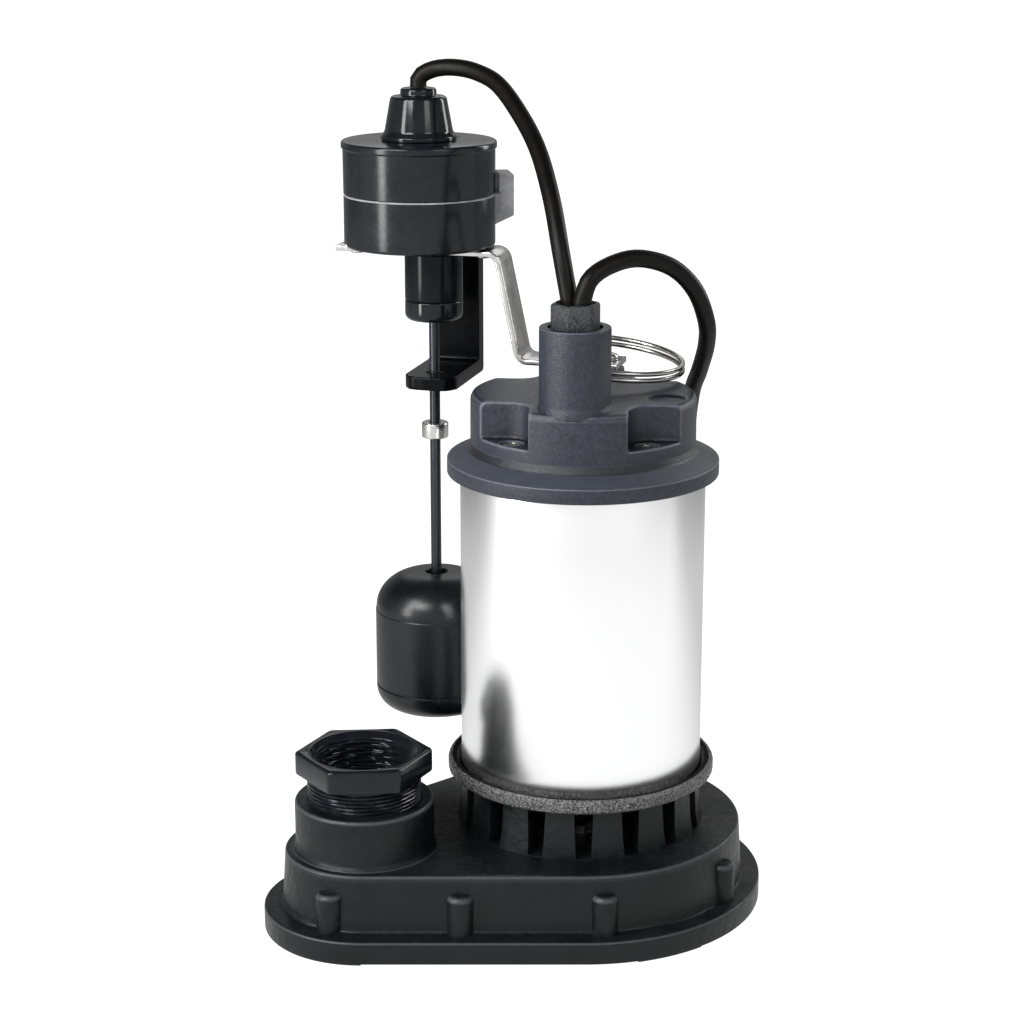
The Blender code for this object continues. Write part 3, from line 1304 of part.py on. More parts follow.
def switch_tube(rod_seat):
    """The tube that the rod's magnet rises in, and its screwed cap."""
    bore = TUBE_RADIUS - TUBE_WALL
    sleeve = turned("switch_tube", [
        (TUBE_RADIUS, TUBE_TOP),
        (TUBE_RADIUS, TUBE_BOTTOM),
        (bore, TUBE_BOTTOM),
        (bore, TUBE_TOP),
    ], MIDDLE)
    finish(sleeve, "gloss_plastic", rod_seat)
    edge = arc((TUBE_RADIUS - CAP_ROUND, CAP_BOTTOM + CAP_ROUND), CAP_ROUND, 0.0, -90.0, 4)
    cap = turned("tube_end_cap", [
        (TUBE_RADIUS, CAP_TOP),
        *edge,
        (ROD_BORE, CAP_BOTTOM),
        (ROD_BORE, CAP_BOTTOM + CAP_FLOOR),
        (bore, CAP_BOTTOM + CAP_FLOOR),
        (bore, CAP_TOP),
    ], MIDDLE)
    finish(cap, "gloss_plastic", rod_seat)


def rod_guide(rod_seat):
    """The arm behind the rod and the foot that the rod slides through."""
    half = GUIDE_WIDTH / 2
    back = GUIDE_BACK + GUIDE_PLATE
    corner = GUIDE_NOSE
    nose = [
        (-half, -GUIDE_FRONT + 2 * corner),
        (-half + corner / 2, -GUIDE_FRONT + corner / 2),
        (-half / 2, -GUIDE_FRONT),
        (half / 2, -GUIDE_FRONT),
        (half - corner / 2, -GUIDE_FRONT + corner / 2),
        (half, -GUIDE_FRONT + 2 * corner),
    ]
    foot = [*nose, (half, back), (-half, back)]
    guide = extruded("rod_guide", [foot], GUIDE_BOTTOM, GUIDE_BOTTOM + GUIDE_THICKNESS)
    arm_low = (-half + INSIDE, GUIDE_BACK, GUIDE_BOTTOM + PAST)
    arm_high = (half - INSIDE, back - INSIDE, HOUSING_BOTTOM - FIT)
    add(guide, box("guide_arm", arm_low, arm_high), rod_seat)
    bore_top = GUIDE_BOTTOM + GUIDE_THICKNESS + PAST
    cut(guide, cylinder("guide_bore", ROD_BORE, GUIDE_BOTTOM - PAST, bore_top, SMALL), rod_seat)
    finish(guide, "satin_plastic", rod_seat)


def float_rod(rod_seat):
    """What slides with the rod: its magnet, the stop collar with a set screw and the stop under the float."""
    axis = frame("rod_axis", (0.0, 0.0, 0.0), 0.0, rod_seat)
    rod = cylinder("float_rod", ROD_RADIUS, ROD_BOTTOM, ROD_TOP, SMALL)
    finish(rod, "black_rod", axis)
    magnet = turned("rod_magnet", [
        (TUBE_RADIUS - TUBE_WALL - 4 * FIT, ROD_TOP),
        (TUBE_RADIUS - TUBE_WALL - 4 * FIT, ROD_TOP - MAGNET_HEIGHT),
        (ROD_BORE, ROD_TOP - MAGNET_HEIGHT),
        (ROD_BORE, ROD_TOP),
    ], MIDDLE)
    finish(magnet, "lamination", axis)
    collar = turned("stop_collar", [
        (COLLAR_RADIUS - COLLAR_EDGE, COLLAR_TOP),
        (COLLAR_RADIUS, COLLAR_TOP - COLLAR_EDGE),
        (COLLAR_RADIUS, COLLAR_BOTTOM + COLLAR_EDGE),
        (COLLAR_RADIUS - COLLAR_EDGE, COLLAR_BOTTOM),
        (ROD_BORE, COLLAR_BOTTOM),
        (ROD_BORE, COLLAR_TOP),
    ], MIDDLE)
    middle = (COLLAR_TOP + COLLAR_BOTTOM) / 2
    sideways = math.radians(-90.0)
    hole = cylinder("set_screw_hole", SET_SCREW_RADIUS + FIT, 0.0, COLLAR_RADIUS + PAST, SMALL)
    screw = cylinder("collar_set_screw", SET_SCREW_RADIUS, ROD_BORE, COLLAR_RADIUS - FIT, SMALL)
    for item in (hole, screw):
        item.rotation_euler = (0.0, sideways, 0.0)
        item.location = (0.0, 0.0, middle)
    cut(collar, hole, axis)
    finish(collar, "zinc_steel", axis)
    finish(screw, "black_rod", axis)
    stop = turned("lower_stop", [
        (STOP_RADIUS, ROD_BOTTOM + STOP_HEIGHT),
        (STOP_RADIUS, ROD_BOTTOM),
        (ROD_BORE, ROD_BOTTOM),
        (ROD_BORE, ROD_BOTTOM + STOP_HEIGHT),
    ], SMALL)
    finish(stop, "seal_rubber", axis)
    return axis


def float_body(rod_axis):
    """The hollow-looking float: domed top, straight side and a well-rounded foot with the stop's recess."""
    axis = frame("float_axis", (0.0, 0.0, 0.0), 0.0, rod_axis)
    shoulder = FLOAT_TOP - FLOAT_DOME
    spread = FLOAT_RADIUS - FLOAT_CROWN_RADIUS
    sweep = arc((0.0, 0.0), 1.0, FLOAT_DOME_START, 0.0, 5)
    dome = [(FLOAT_CROWN_RADIUS + spread * out, shoulder + FLOAT_DOME * up) for out, up in sweep]
    round_centre = (FLOAT_RADIUS - FLOAT_FOOT_ROUND, FLOAT_BOTTOM + FLOAT_FOOT_ROUND)
    foot = arc(round_centre, FLOAT_FOOT_ROUND, 0.0, -90.0, 4)
    recess = STOP_RADIUS + 4 * FIT
    body = turned("float", [
        (FLOAT_CROWN_RADIUS, FLOAT_TOP),
        *dome,
        *foot,
        (recess, FLOAT_BOTTOM),
        (recess, FLOAT_SEAT),
        (ROD_BORE, FLOAT_SEAT),
        (ROD_BORE, FLOAT_TOP - FLOAT_MOUTH_RADIUS),
        (FLOAT_MOUTH_RADIUS, FLOAT_TOP - FLOAT_MOUTH_RADIUS / 2),
        (FLOAT_MOUTH_RADIUS, FLOAT_TOP),
    ], MIDDLE)
    finish(body, "gloss_plastic", axis)


def lifting_ring():
    """Two turns of wire that hang in the lug and lie back on the cover."""
    pivot = frame("ring_pivot", (*LUG_AT, LUG_CENTRE))
    back = math.sqrt(LIFT_RING_RADIUS ** 2 - LIFT_CENTRE_X ** 2)
    opposite_lug = math.atan2(back, LIFT_CENTRE_X)
    points = []
    for index in range(LIFT_TURNS * LIFT_POINTS + 1):
        turns = index / LIFT_POINTS
        angle = opposite_lug + turns * math.tau
        x = LIFT_CENTRE_X + LIFT_RING_RADIUS * math.cos(angle)
        y = back + LIFT_RING_RADIUS * math.sin(angle)
        climb = (turns - LIFT_TURNS / 2) * LIFT_PITCH
        points.append((x, y, climb - x * math.tan(LIFT_TILT) + y * math.tan(LIFT_LEAN)))
    finish(tube("lifting_ring", points, LIFT_WIRE_RADIUS, 1), "polished_steel", pivot)


def coil_points():
    """The put-away cord: it winds in on the floor, climbs at the middle and winds out on top."""
    half = COIL_TURNS / 2
    low = CORD_RADIUS + FIT
    count = int(COIL_TURNS * COIL_POINTS) + 1
    points = []
    for turns in np.linspace(0.0, COIL_TURNS, count):
        angle = math.radians(-90.0) - turns * math.tau
        radius = COIL_RADIUS - COIL_PITCH * (half - abs(turns - half))
        climb = min(max((turns - half) * 2.0 + 0.5, 0.0), 1.0)
        height = low + COIL_PITCH * climb * climb * (3.0 - 2.0 * climb)
        points.append((COIL_AT[0] + radius * math.cos(angle), COIL_AT[1] + radius * math.sin(angle), height))
    straight = 2 * CORD_RADIUS
    last = math.radians(-90.0) - COIL_TURNS * math.tau
    lead_in = Vector(points[0]) + Vector((straight, 0.0, 0.0))
    lead_out = Vector(points[-1]) + Vector((math.sin(last), -math.cos(last), 0.0)) * straight
    return [tuple(lead_in), *points, tuple(lead_out)]


def least_gap(points, radius):
    """The least clear gap of a wound tube to itself, from its points."""
    places = np.array(points)
    along = np.concatenate([[0.0], np.cumsum(np.linalg.norm(np.diff(places, axis=0), axis=1))])
    apart = np.linalg.norm(places[:, None] - places[None], axis=2)
    apart[np.abs(along[:, None] - along[None]) < 8 * radius] = np.inf
    return apart.min() - 2 * radius


def cords(cover_frame):
    """The two cords from the gland, the put-away coil and the plug at its end."""
    bpy.context.view_layer.update()
    gland_at = cover_frame.matrix_world @ Vector((*RISER_AT, 0.0))
    aside = Vector((math.cos(CORD_BEARING), math.sin(CORD_BEARING), 0.0)) * CORD_SPREAD
    foot = Vector((0.0, 0.0, GROMMET_TOP + FIT))
    mouth = Vector((0.0, 0.0, NUT_TOP + FIT))
    boot = Vector((*SWITCH_AT, BOOT_TOP + FIT))
    boot_way = boot + Vector((0.0, 0.0, CORD_STRAIGHT))
    middle = smooth_route([gland_at - aside + mouth, *SWITCH_CORD_ROUTE, boot_way], CORD_STEP)
    route = [gland_at - aside + foot, *middle, boot]
    finish(tube("switch_cord", route, CORD_RADIUS, 2), "cord_rubber")

    coil = coil_points()
    joint = Vector(coil[0]) + Vector((FIT, 0.0, 0.0))
    joint_way = joint + Vector((CORD_STRAIGHT, 0.0, 0.0))
    middle = smooth_route([gland_at + aside + mouth, *POWER_CORD_ROUTE, joint_way], CORD_STEP)
    route = [gland_at + aside + foot, *middle, joint]
    finish(tube("power_cord", route, CORD_RADIUS, 2), "cord_rubber")
    gap = least_gap(coil, CORD_RADIUS)
    print("coil's least gap to itself, mm: %.2f, at least %.2f" % (gap * 1000, LEAST_COIL_GAP * 1000))
    finish(tube("power_cord_coil", coil, CORD_RADIUS, 1), "cord_rubber")
    plug(Vector(coil[-1]), Vector(coil[-1]) - Vector(coil[-2]))


def plug(at, way):
    """A grounded plug whose neck takes the end of the cord."""
    way = way.normalized()
    seat = bpy.data.objects.new("plug_axis", None)
    PARTS.objects.link(seat)
    seat.empty_display_size = 0.01
    seat.location = at + way * FIT
    seat.rotation_euler = (math.radians(90.0), 0.0, math.atan2(way.y, way.x) + math.radians(90.0))
    face = PLUG_NECK_LENGTH + PLUG_LENGTH
    body = turned("plug_body", [
        (0.0, face),
        (PLUG_RADIUS - RIM_EDGE, face),
        (PLUG_RADIUS, face - RIM_EDGE),
        (PLUG_RADIUS, PLUG_NECK_LENGTH + PLUG_LENGTH * 0.35),
        (PLUG_RADIUS * 0.7, PLUG_NECK_LENGTH),
        (PLUG_NECK_RADIUS, PLUG_NECK_LENGTH * 0.8),
        (PLUG_NECK_RADIUS, 0.0),
        (0.0, 0.0),
    ], MIDDLE)
    width, thickness, length = BLADE_SIZE
    sunk = face - BLADE_SUNK
    for name, side in (("plug_blade_left", -1.0), ("plug_blade_right", 1.0)):
        x = side * BLADE_SPACING / 2
        low = Vector((x - thickness / 2, BLADE_RISE - width / 2, sunk))
        high = Vector((x + thickness / 2, BLADE_RISE + width / 2, sunk + length))
        room = Vector((FIT, FIT, FIT))
        cut(body, box(name + "_slot", low - room, high + room), seat)
        finish(box(name, low, high), "brass", seat)
    ground = (0.0, -GROUND_DROP)
    cut(body, cylinder("ground_pin_hole", GROUND_RADIUS + FIT, sunk - FIT, face + PAST, SMALL, ground), seat)
    pin = cylinder("plug_ground_pin", GROUND_RADIUS, sunk, sunk + length, SMALL, ground)
    finish(pin, "brass", seat)
    finish(body, "cord_rubber", seat)


def build_pump():
    cover_frame = frame("cover_frame", (0.0, 0.0, 0.0), COVER_YAW)
    switch = frame("switch_frame", (*SWITCH_AT, 0.0), SWITCH_YAW)
    rod_seat = frame("rod_seat", (ROD_OFFSET, 0.0, 0.0), 0.0, switch)
    volute_base()
    bottom_plate()
    discharge_bushing()
    motor_base_plate(cover_frame)
    motor_can()
    bearing("lower_bearing", LOWER_BEARING)
    bearing("upper_bearing", UPPER_BEARING + FIT)
    stator(cover_frame)
    rotor()
    top_cover(cover_frame)
    cover_bolts(cover_frame)
    gland(cover_frame)
    mounting_strap(switch)
    switch_housing(switch)
    switch_tube(rod_seat)
    rod_guide(rod_seat)
    rod_axis = float_rod(rod_seat)
    float_body(rod_axis)
    lifting_ring()
    cords(cover_frame)


build_pump()
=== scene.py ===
"""Looks of a submersible sump pump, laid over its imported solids.

Metres, in the solids' own frame: the origin is on the motor's axis, on the floor. The front is -Y.
"""

import math

import bmesh
import bpy
import numpy as np
from bpy.props import FloatProperty
from bpy.props import FloatVectorProperty
from bpy.props import PointerProperty
from mathutils import Matrix
from mathutils import Vector


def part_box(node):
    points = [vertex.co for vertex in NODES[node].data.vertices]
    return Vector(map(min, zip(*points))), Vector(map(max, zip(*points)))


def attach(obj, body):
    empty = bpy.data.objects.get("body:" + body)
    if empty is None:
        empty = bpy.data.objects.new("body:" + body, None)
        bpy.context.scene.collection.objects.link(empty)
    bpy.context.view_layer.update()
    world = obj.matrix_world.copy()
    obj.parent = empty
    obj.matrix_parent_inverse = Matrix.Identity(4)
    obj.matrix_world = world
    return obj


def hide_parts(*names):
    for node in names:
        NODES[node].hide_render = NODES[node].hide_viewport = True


bl_info = {
    "name": "Sump pump looks",
    "version": (1, 0, 0),
    "blender": (4, 5, 0),
    "location": "View3D > Sidebar > Pump",
    "description": "Builds the visible surfaces, finishes and studio of a submersible sump pump",
    "category": "Object",
}

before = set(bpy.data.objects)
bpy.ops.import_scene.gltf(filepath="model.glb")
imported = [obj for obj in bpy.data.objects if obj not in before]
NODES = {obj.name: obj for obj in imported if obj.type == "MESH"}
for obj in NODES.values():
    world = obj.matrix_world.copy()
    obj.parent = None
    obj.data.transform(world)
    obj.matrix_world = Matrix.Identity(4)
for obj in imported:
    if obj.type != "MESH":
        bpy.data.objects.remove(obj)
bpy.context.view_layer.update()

# Clearance between pieces, and how far a cutting tool runs past what it cuts
FIT = 0.0003
PAST = 0.002

# Angles over which an edge stays sharp, in degrees, and distances at which points merge
SHARP = 35.0
HEX_SHARP = 40.0
CAST_SHARP = 80.0
MERGE = 2e-6
VANISH = 1e-7
RIGHT_ANGLE = math.radians(90.0)

# Plan of the base: a circle on the motor's axis and one at the discharge, hulled
WALL_RADIUS = 0.0703
DISCHARGE_AT = (-0.0935, -0.036)
DISCHARGE_WALL = WALL_RADIUS + DISCHARGE_AT[1]
LEDGE = 0.0364
FIN_TOP = 0.0584
FIN_COUNT = 16
RING_LOW = FIN_TOP + FIT
BOSS_TOP = 0.0586
BOSS_RADIUS = 0.0298
FLANGE_REACH = 0.0097
SCREW_BOSS_RADIUS = 0.0056
SCREW_BOSS_TOP = 0.0285
PUMP_BOSS_ANGLES = (-83.0, -31.0, 45.0, 122.0)
DISCHARGE_BOSS_ANGLE = -113.0
FRONT_BOSS_X = -0.052
MOTOR_SCREW_ANGLES = (-56.25, 56.25, 168.75)

# Cover
COVER_YAW = math.radians(-4.6)
COVER_TOP = 0.228
RIM_BOTTOM = 0.1933
RIM_TOP = 0.2
RISER_AT = (-0.0019, -0.0327)
RISER_RADIUS = 0.01485
RISER_TOP = 0.262
RISER_BORE = 0.0098
POCKET_FLOOR = 0.2122
BOLT_SEAT = 0.2076
BOLT_CIRCLE = 0.042
BOLT_ANGLES = (48.2, 131.8, 228.2, 311.8)
LUG_AT = (0.005, 0.0014, 0.235)

# Switch
SWITCH_AT = (-0.071, 0.0595)
STRAP_FOOT_AT = (0.0055, 0.0385)
SWITCH_YAW = math.atan2(STRAP_FOOT_AT[1] - SWITCH_AT[1], STRAP_FOOT_AT[0] - SWITCH_AT[0])
STRAP_WAY = np.array((math.cos(SWITCH_YAW), math.sin(SWITCH_YAW)))
STRAP_REACH = math.dist(SWITCH_AT, STRAP_FOOT_AT)
STRAP_THICKNESS = 0.0025
STRAP_WIDTH = 0.020
STRAP_SCREW_OFFSET = 0.007
RIVET_OFFSET = 0.029
ROD_AT = np.array(SWITCH_AT) + 0.0063 * STRAP_WAY
ROD_BORE = 0.0027
CASE_RADIUS = 0.0334
LID_RADIUS = 0.0342

# Cords
CORD_RADIUS = 0.0037
CORD_SPREAD = 0.0039
CORD_BEARING = math.radians(-52.0)
CORD_STEP = 0.003
COIL_AT = (0.004, 0.142)
COIL_RADIUS = 0.054
COIL_PITCH = 0.0083
COIL_TURNS = 7.375
SWITCH_CORD_ROUTE = (
    (-0.0104, -0.0240, 0.2911),
    (-0.0139, -0.0110, 0.3101),
    (-0.0191, 0.0060, 0.3277),
    (-0.0263, 0.0220, 0.3408),
    (-0.0360, 0.0380, 0.3526),
    (-0.0457, 0.0475, 0.3573),
    (-0.0549, 0.0535, 0.3587),
    (-0.0629, 0.0572, 0.3580),
    (-0.0688, 0.0590, 0.3556),
)
POWER_CORD_ROUTE = (
    (0.0012, -0.0340, 0.2814),
    (0.0098, -0.0290, 0.2866),
    (0.0215, -0.0230, 0.2883),
    (0.0353, -0.0180, 0.2838),
    (0.0453, -0.0130, 0.2735),
    (0.0510, -0.0050, 0.2590),
    (0.0523, 0.0070, 0.2468),
    (0.0510, 0.0230, 0.2326),
    (0.0489, 0.0380, 0.2188),
    (0.0485, 0.0560, 0.1950),
    (0.0490, 0.0700, 0.1600),
    (0.0500, 0.0820, 0.1100),
    (0.0505, 0.0895, 0.0550),
    (0.0460, 0.0910, 0.0230),
    (0.0350, 0.0895, 0.0085),
    (0.0220, 0.0882, 0.0044),
)

# Finishes: tones are colours, or names of the user's colours with factors; gloss is (smooth, rough);
# bump is (strength, distance); the edge entry is (colour, amount) of a painted highlight along marked outer
# edges, which also brings painted shade into marked corners. A stretch means scratches in place of grain.
FINISHES = {
    "Base_Enamel": dict(
        tones=(("enamel", 0.6), ("enamel", 1.3)), scale=300.0, gloss=(0.34, 0.50), bump=(0.4, 0.0008),
        specular=0.24, patches=70.0, worn=((0.05, 0.053, 0.056), 0.8)),
    "Cover_Coat": dict(
        tones=(("coat", 0.5), ("coat", 1.5)), scale=1900.0, gloss=(0.30, 0.42), bump=(0.55, 0.0005),
        specular=0.40, patches=600.0, worn=((0.13, 0.14, 0.165), 0.6)),
    "Gritty_Coat": dict(
        tones=(((0.002, 0.002, 0.0025),), ((0.06, 0.062, 0.068),)), scale=1500.0, gloss=(0.24, 0.45),
        bump=(0.9, 0.0009), specular=0.4, patches=900.0),
    "Rough_Casting": dict(
        tones=(((0.006, 0.006, 0.006),), ((0.22, 0.22, 0.22),)), scale=1000.0, gloss=(0.18, 0.5),
        bump=(1.0, 0.0013), metallic=0.7, patches=1400.0),
    "Gloss_Moulding": dict(
        tones=(("moulding", 0.6), ("moulding", 1.1)), scale=300.0, gloss=(0.09, 0.16), bump=(0.05, 0.0001),
        specular=0.28, patches=40.0),
    "Satin_Moulding": dict(
        tones=(("moulding", 0.7), ("moulding", 1.3)), scale=300.0, gloss=(0.15, 0.23), bump=(0.06, 0.0001),
        specular=0.28, patches=40.0),
    # The switch moulding made darker and duller: painted shade on the guide arm
    "Dark_Moulding": dict(
        tones=(("moulding", 0.1), ("moulding", 0.3)), scale=300.0, gloss=(0.18, 0.30), bump=(0.06, 0.0001),
        specular=0.09, patches=40.0),
    # Pale plastic of the ear; also a painted highlight on the switch case's seam bevel
    "Pale_Moulding": dict(
        tones=(((0.22, 0.22, 0.225),), ((0.36, 0.36, 0.365),)), scale=300.0, gloss=(0.25, 0.35),
        bump=(0.06, 0.0001), specular=0.35, patches=90.0),
    "Float_Moulding": dict(
        tones=(("moulding", 0.2), ("moulding", 0.7)), scale=1200.0, gloss=(0.26, 0.36), bump=(0.15, 0.0002),
        specular=0.36, patches=60.0),
    "Bright_Plate": dict(
        tones=(("zinc", 0.8), ("zinc",)), scale=250.0, gloss=(0.16, 0.26), bump=(0.08, 0.0001),
        metallic=1.0, patches=90.0),
    "Polished_Can": dict(
        tones=(("steel",),), stretch=(1.0, 1.0, 0.02), scale=300.0, gloss=(0.25, 0.265),
        bump=(0.01, 0.0001), metallic=1.0),
    "Bright_Wire": dict(
        tones=(((0.40, 0.39, 0.38),),), stretch=(1.0, 1.0, 1.0), scale=300.0, gloss=(0.22, 0.28),
        bump=(0.03, 0.0001), metallic=1.0),
    "Dark_Rod": dict(
        tones=(((0.035, 0.038, 0.043),),), stretch=(1.0, 1.0, 0.05), scale=1500.0, gloss=(0.18, 0.32),
        bump=(0.1, 0.0001), metallic=0.8),
    "Scratched_Tube": dict(
        tones=(("moulding", 0.7),), stretch=(0.06, 0.06, 1.0), scale=1400.0, gloss=(0.10, 0.24),
        bump=(0.2, 0.00015), specular=0.13),
    "Cord_Jacket": dict(
        tones=(("jacket", 0.6), ("jacket", 1.2)), scale=1300.0, gloss=(0.36, 0.48), bump=(0.15, 0.0002),
        specular=0.14, patches=70.0),
    # Black rubber, also used as painted shade on the top of the ring under the can
    "Seal_Rubber": dict(
        tones=(((0.0015, 0.0015, 0.0015),), ((0.005, 0.005, 0.005),)), scale=1500.0, gloss=(0.55, 0.8),
        bump=(0.3, 0.0002), specular=0.08),
    "Lamination": dict(
        tones=(((0.3, 0.3, 0.32),),), stretch=(0.02, 0.02, 1.0), scale=2500.0, gloss=(0.3, 0.5),
        bump=(0.4, 0.0002), metallic=1.0),
    "Copper_Wire": dict(
        tones=(((0.72, 0.34, 0.16),),), stretch=(0.05, 0.05, 1.0), scale=1200.0, gloss=(0.25, 0.45),
        bump=(0.6, 0.0005), metallic=1.0),
    "Plain_Brass": dict(
        tones=(((0.62, 0.46, 0.2),), ((0.78, 0.6, 0.3),)), scale=900.0, gloss=(0.18, 0.35),
        bump=(0.1, 0.0001), metallic=1.0),
    "Pale_Floor": dict(
        tones=(((0.78, 0.78, 0.78),), ((0.82, 0.82, 0.82),)), scale=30.0, gloss=(0.7, 0.8),
        bump=(0.02, 0.0002), specular=0.1, patches=3.0),
}
SOCKETS = {1: "NodeSocketFloat", 3: "NodeSocketVector", 4: "NodeSocketColor"}
WHITE = (1.0, 1.0, 1.0, 1.0)
PAPER_WHITE = 1.3

# Soft boxes: name, place, size and power
LIGHTS = (
    ("Key", (-0.70, -0.95, 1.05), (0.5, 0.5), 14.0),
    ("Fill", (0.7, -1.0, 1.0), (0.5, 0.5), 4.0),
    ("Left_Strip", (-0.56, -0.30, 0.40), (0.12, 0.7), 4.4),
    ("Right_Strip", (0.58, 0.36, 0.47), (0.14, 0.5), 2.0),
    ("Back", (0.1, 1.3, 0.9), (1.2, 0.5), 2.0),
)
LIGHT_AIM = (0.0, 0.0, 0.16)


def swatch(name, description, default):
    """A colour that a user can change."""
    return FloatVectorProperty(name=name, description=description, subtype="COLOR", default=default,
                               min=0.0, max=1.0)


def length(name, description, default, low, high):
    """A length that a user can change."""
    return FloatProperty(name=name, description=description, unit="LENGTH", default=default,
                         min=low, max=high)


class PumpColours(bpy.types.PropertyGroup):
    """Colours of the pump's finishes."""

    enamel: swatch("Base enamel", "Satin enamel on the cast base", (0.0047, 0.0054, 0.0059))
    coat: swatch("Cover coat", "Powder coat on the top cover", (0.0155, 0.019, 0.029))
    moulding: swatch("Moulded plastic", "Black plastic of switch and float", (0.0062, 0.0070, 0.0095))
    steel: swatch("Polished steel", "Polished stainless can", (0.92, 0.92, 0.92))
    zinc: swatch("Bright plate", "Bright plated strap, screws and collar", (0.62, 0.615, 0.60))
    jacket: swatch("Cord jacket", "Outer jacket of the cords", (0.0028, 0.0023, 0.0020))


class PumpSizes(bpy.types.PropertyGroup):
    """Sizes of the details that only show on the surface."""

    thread_pitch: length("Thread pitch", "Pitch of the bushing's pipe thread", 0.0017, 0.001, 0.004)
    thread_depth: length("Thread depth", "Depth of the bushing's pipe thread", 0.0010, 0.0, 0.002)
    cover_voxel: length("Cover mesh", "Mesh size of the cast cover", 0.00062, 0.0006, 0.003)


class PumpLooks(bpy.types.PropertyGroup):
    """Everything about the pump's looks that a user would change."""

    colours: PointerProperty(type=PumpColours)
    sizes: PointerProperty(type=PumpSizes)


def looks():
    """The user's settings."""
    return bpy.context.scene.pump_looks


def span(name):
    """The lowest and the highest height of a solid."""
    low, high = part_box(name)
    return low.z, high.z


def placed(points, at=(0.0, 0.0, 0.0), yaw=0.0):
    """Points turned about Z by yaw and then moved by at."""
    c, s = math.cos(yaw), math.sin(yaw)
    spin = np.array([[c, -s, 0.0], [s, c, 0.0], [0.0, 0.0, 1.0]])
    shift = np.zeros(3)
    shift[:len(at)] = at
    return np.asarray(points, float) @ spin.T + shift


def on_cover(*plan):
    """A place on the cover's own plan, turned with the cover."""
    return placed((*plan, 0.0), yaw=COVER_YAW)[:2]


def on_circle(radius, angles, at=(0.0, 0.0)):
    """Places on a circle at angles in degrees."""
    turns = np.radians(np.asarray(angles, float))
    return np.stack([at[0] + radius * np.cos(turns), at[1] + radius * np.sin(turns)], axis=1)


def on_strap(at, offset):
    """Two places on the strap's line, at an offset on either side of a place."""
    return [np.array(at) + STRAP_WAY * side * offset for side in (-1.0, 1.0)]


def eased(corners, steps=6, closed=False, ease=0.0):
    """A polyline of (x, y, ease) corners, where each eased corner is an arc that touches both its sides.

    A point of the arc is its centre plus a spoke that turns from one touching point to the other. A corner
    without an ease of its own has the common one.
    """
    points = np.array([corner[:2] for corner in corners], float)
    last = len(points) - 1
    straight, side_share = 0.02, 0.49
    rounded = []
    for index, (here, corner) in enumerate(zip(points, corners)):
        radius = corner[2] if len(corner) > 2 else ease
        before = points[index - 1] - here
        after = points[(index + 1) % len(points)] - here
        ends = not closed and index in (0, last)
        if ends or radius <= 0.0:
            rounded.append(here[None])
            continue
        u = before / np.linalg.norm(before)
        v = after / np.linalg.norm(after)
        half = math.acos(np.clip(u @ v, -1.0, 1.0)) / 2
        sweep = math.pi - 2 * half
        if sweep < straight:
            rounded.append(here[None])
            continue
        room = side_share * min(np.linalg.norm(before), np.linalg.norm(after))
        reach = min(radius / math.tan(half), room)
        middle = (u + v) / np.linalg.norm(u + v)
        centre = here + middle * reach / math.cos(half)
        t = np.linspace(0.0, 1.0, steps)[:, None]
        start = here + u * reach - centre
        stop = here + v * reach - centre
        spoke = (np.sin((1.0 - t) * sweep) * start + np.sin(t * sweep) * stop) / math.sin(sweep)
        rounded.append(centre + spoke)
    return np.concatenate(rounded)


def around(count):
    """Angles evenly round a full turn."""
    return np.arange(count) * math.tau / count


def turned(rows, count=96):
    """Rows of (reach, height) carried round Z: x = r cos a, y = r sin a.

    A row has one reach for all angles or one for each.
    """
    angles = around(count)
    reach = np.stack([np.broadcast_to(row[0], count) for row in rows])
    height = np.broadcast_to(np.array([row[1] for row in rows])[:, None], reach.shape)
    return np.stack([reach * np.cos(angles), reach * np.sin(angles), height], axis=-1)


def hexed(angles, apothem, yaw, ease):
    """Distance to a hexagon's side at each angle, flattened at the corners to the ease's share of them."""
    sector = math.tau / 6
    within = np.mod(angles - yaw + RIGHT_ANGLE + sector / 2, sector) - sector / 2
    side = apothem / np.cos(within)
    corner = apothem / math.cos(sector / 2) * ease
    blend = 0.0004
    gap = np.clip(0.5 + 0.5 * (corner - side) / blend, 0.0, 1.0)
    return side * gap + corner * (1.0 - gap) - blend * gap * (1.0 - gap)


def smooth(mesh, sharp):
    """Smooth shading, with edges over the angle kept sharp."""
    mesh.shade_smooth()
    mesh.set_sharp_from_angle(angle=math.radians(sharp))


def weld(mesh, sharp):
    """Merges a mesh's seams and poles and turns its faces outwards."""
    shape = bmesh.new()
    shape.from_mesh(mesh)
    bmesh.ops.remove_doubles(shape, verts=list(shape.verts), dist=MERGE)
    bmesh.ops.dissolve_degenerate(shape, edges=list(shape.edges), dist=VANISH)
    bmesh.ops.recalc_face_normals(shape, faces=list(shape.faces))
    shape.to_mesh(mesh)
    shape.free()
    smooth(mesh, sharp)


def linked(name, data):
    """A new object in the scene."""
    item = bpy.data.objects.new(name, data)
    bpy.context.scene.collection.objects.link(item)
    return item


def skinned(name, grid, closed=False, sharp=SHARP):
    """A mesh over a grid whose columns go round: quads between neighbours, ends capped or closed."""
    grid = np.asarray(grid, float)
    rows, columns = grid.shape[:2]
    if not closed:
        first = np.broadcast_to(grid[0].mean(axis=0), grid[:1].shape)
        final = np.broadcast_to(grid[-1].mean(axis=0), grid[:1].shape)
        grid = np.concatenate([first, grid, final])
        rows += 2
    bands = np.arange(rows if closed else rows - 1)[:, None]
    spans = np.arange(columns)[None]
    above = (bands + 1) % rows
    beside = (spans + 1) % columns
    faces = np.stack([
        bands * columns + spans,
        bands * columns + beside,
        above * columns + beside,
        above * columns + spans,
    ], axis=-1).reshape(-1, 4)
    mesh = bpy.data.meshes.new(name)
    mesh.from_pydata(grid.reshape(-1, 3).tolist(), [], faces.tolist())
    weld(mesh, sharp)
    return linked(name, mesh)


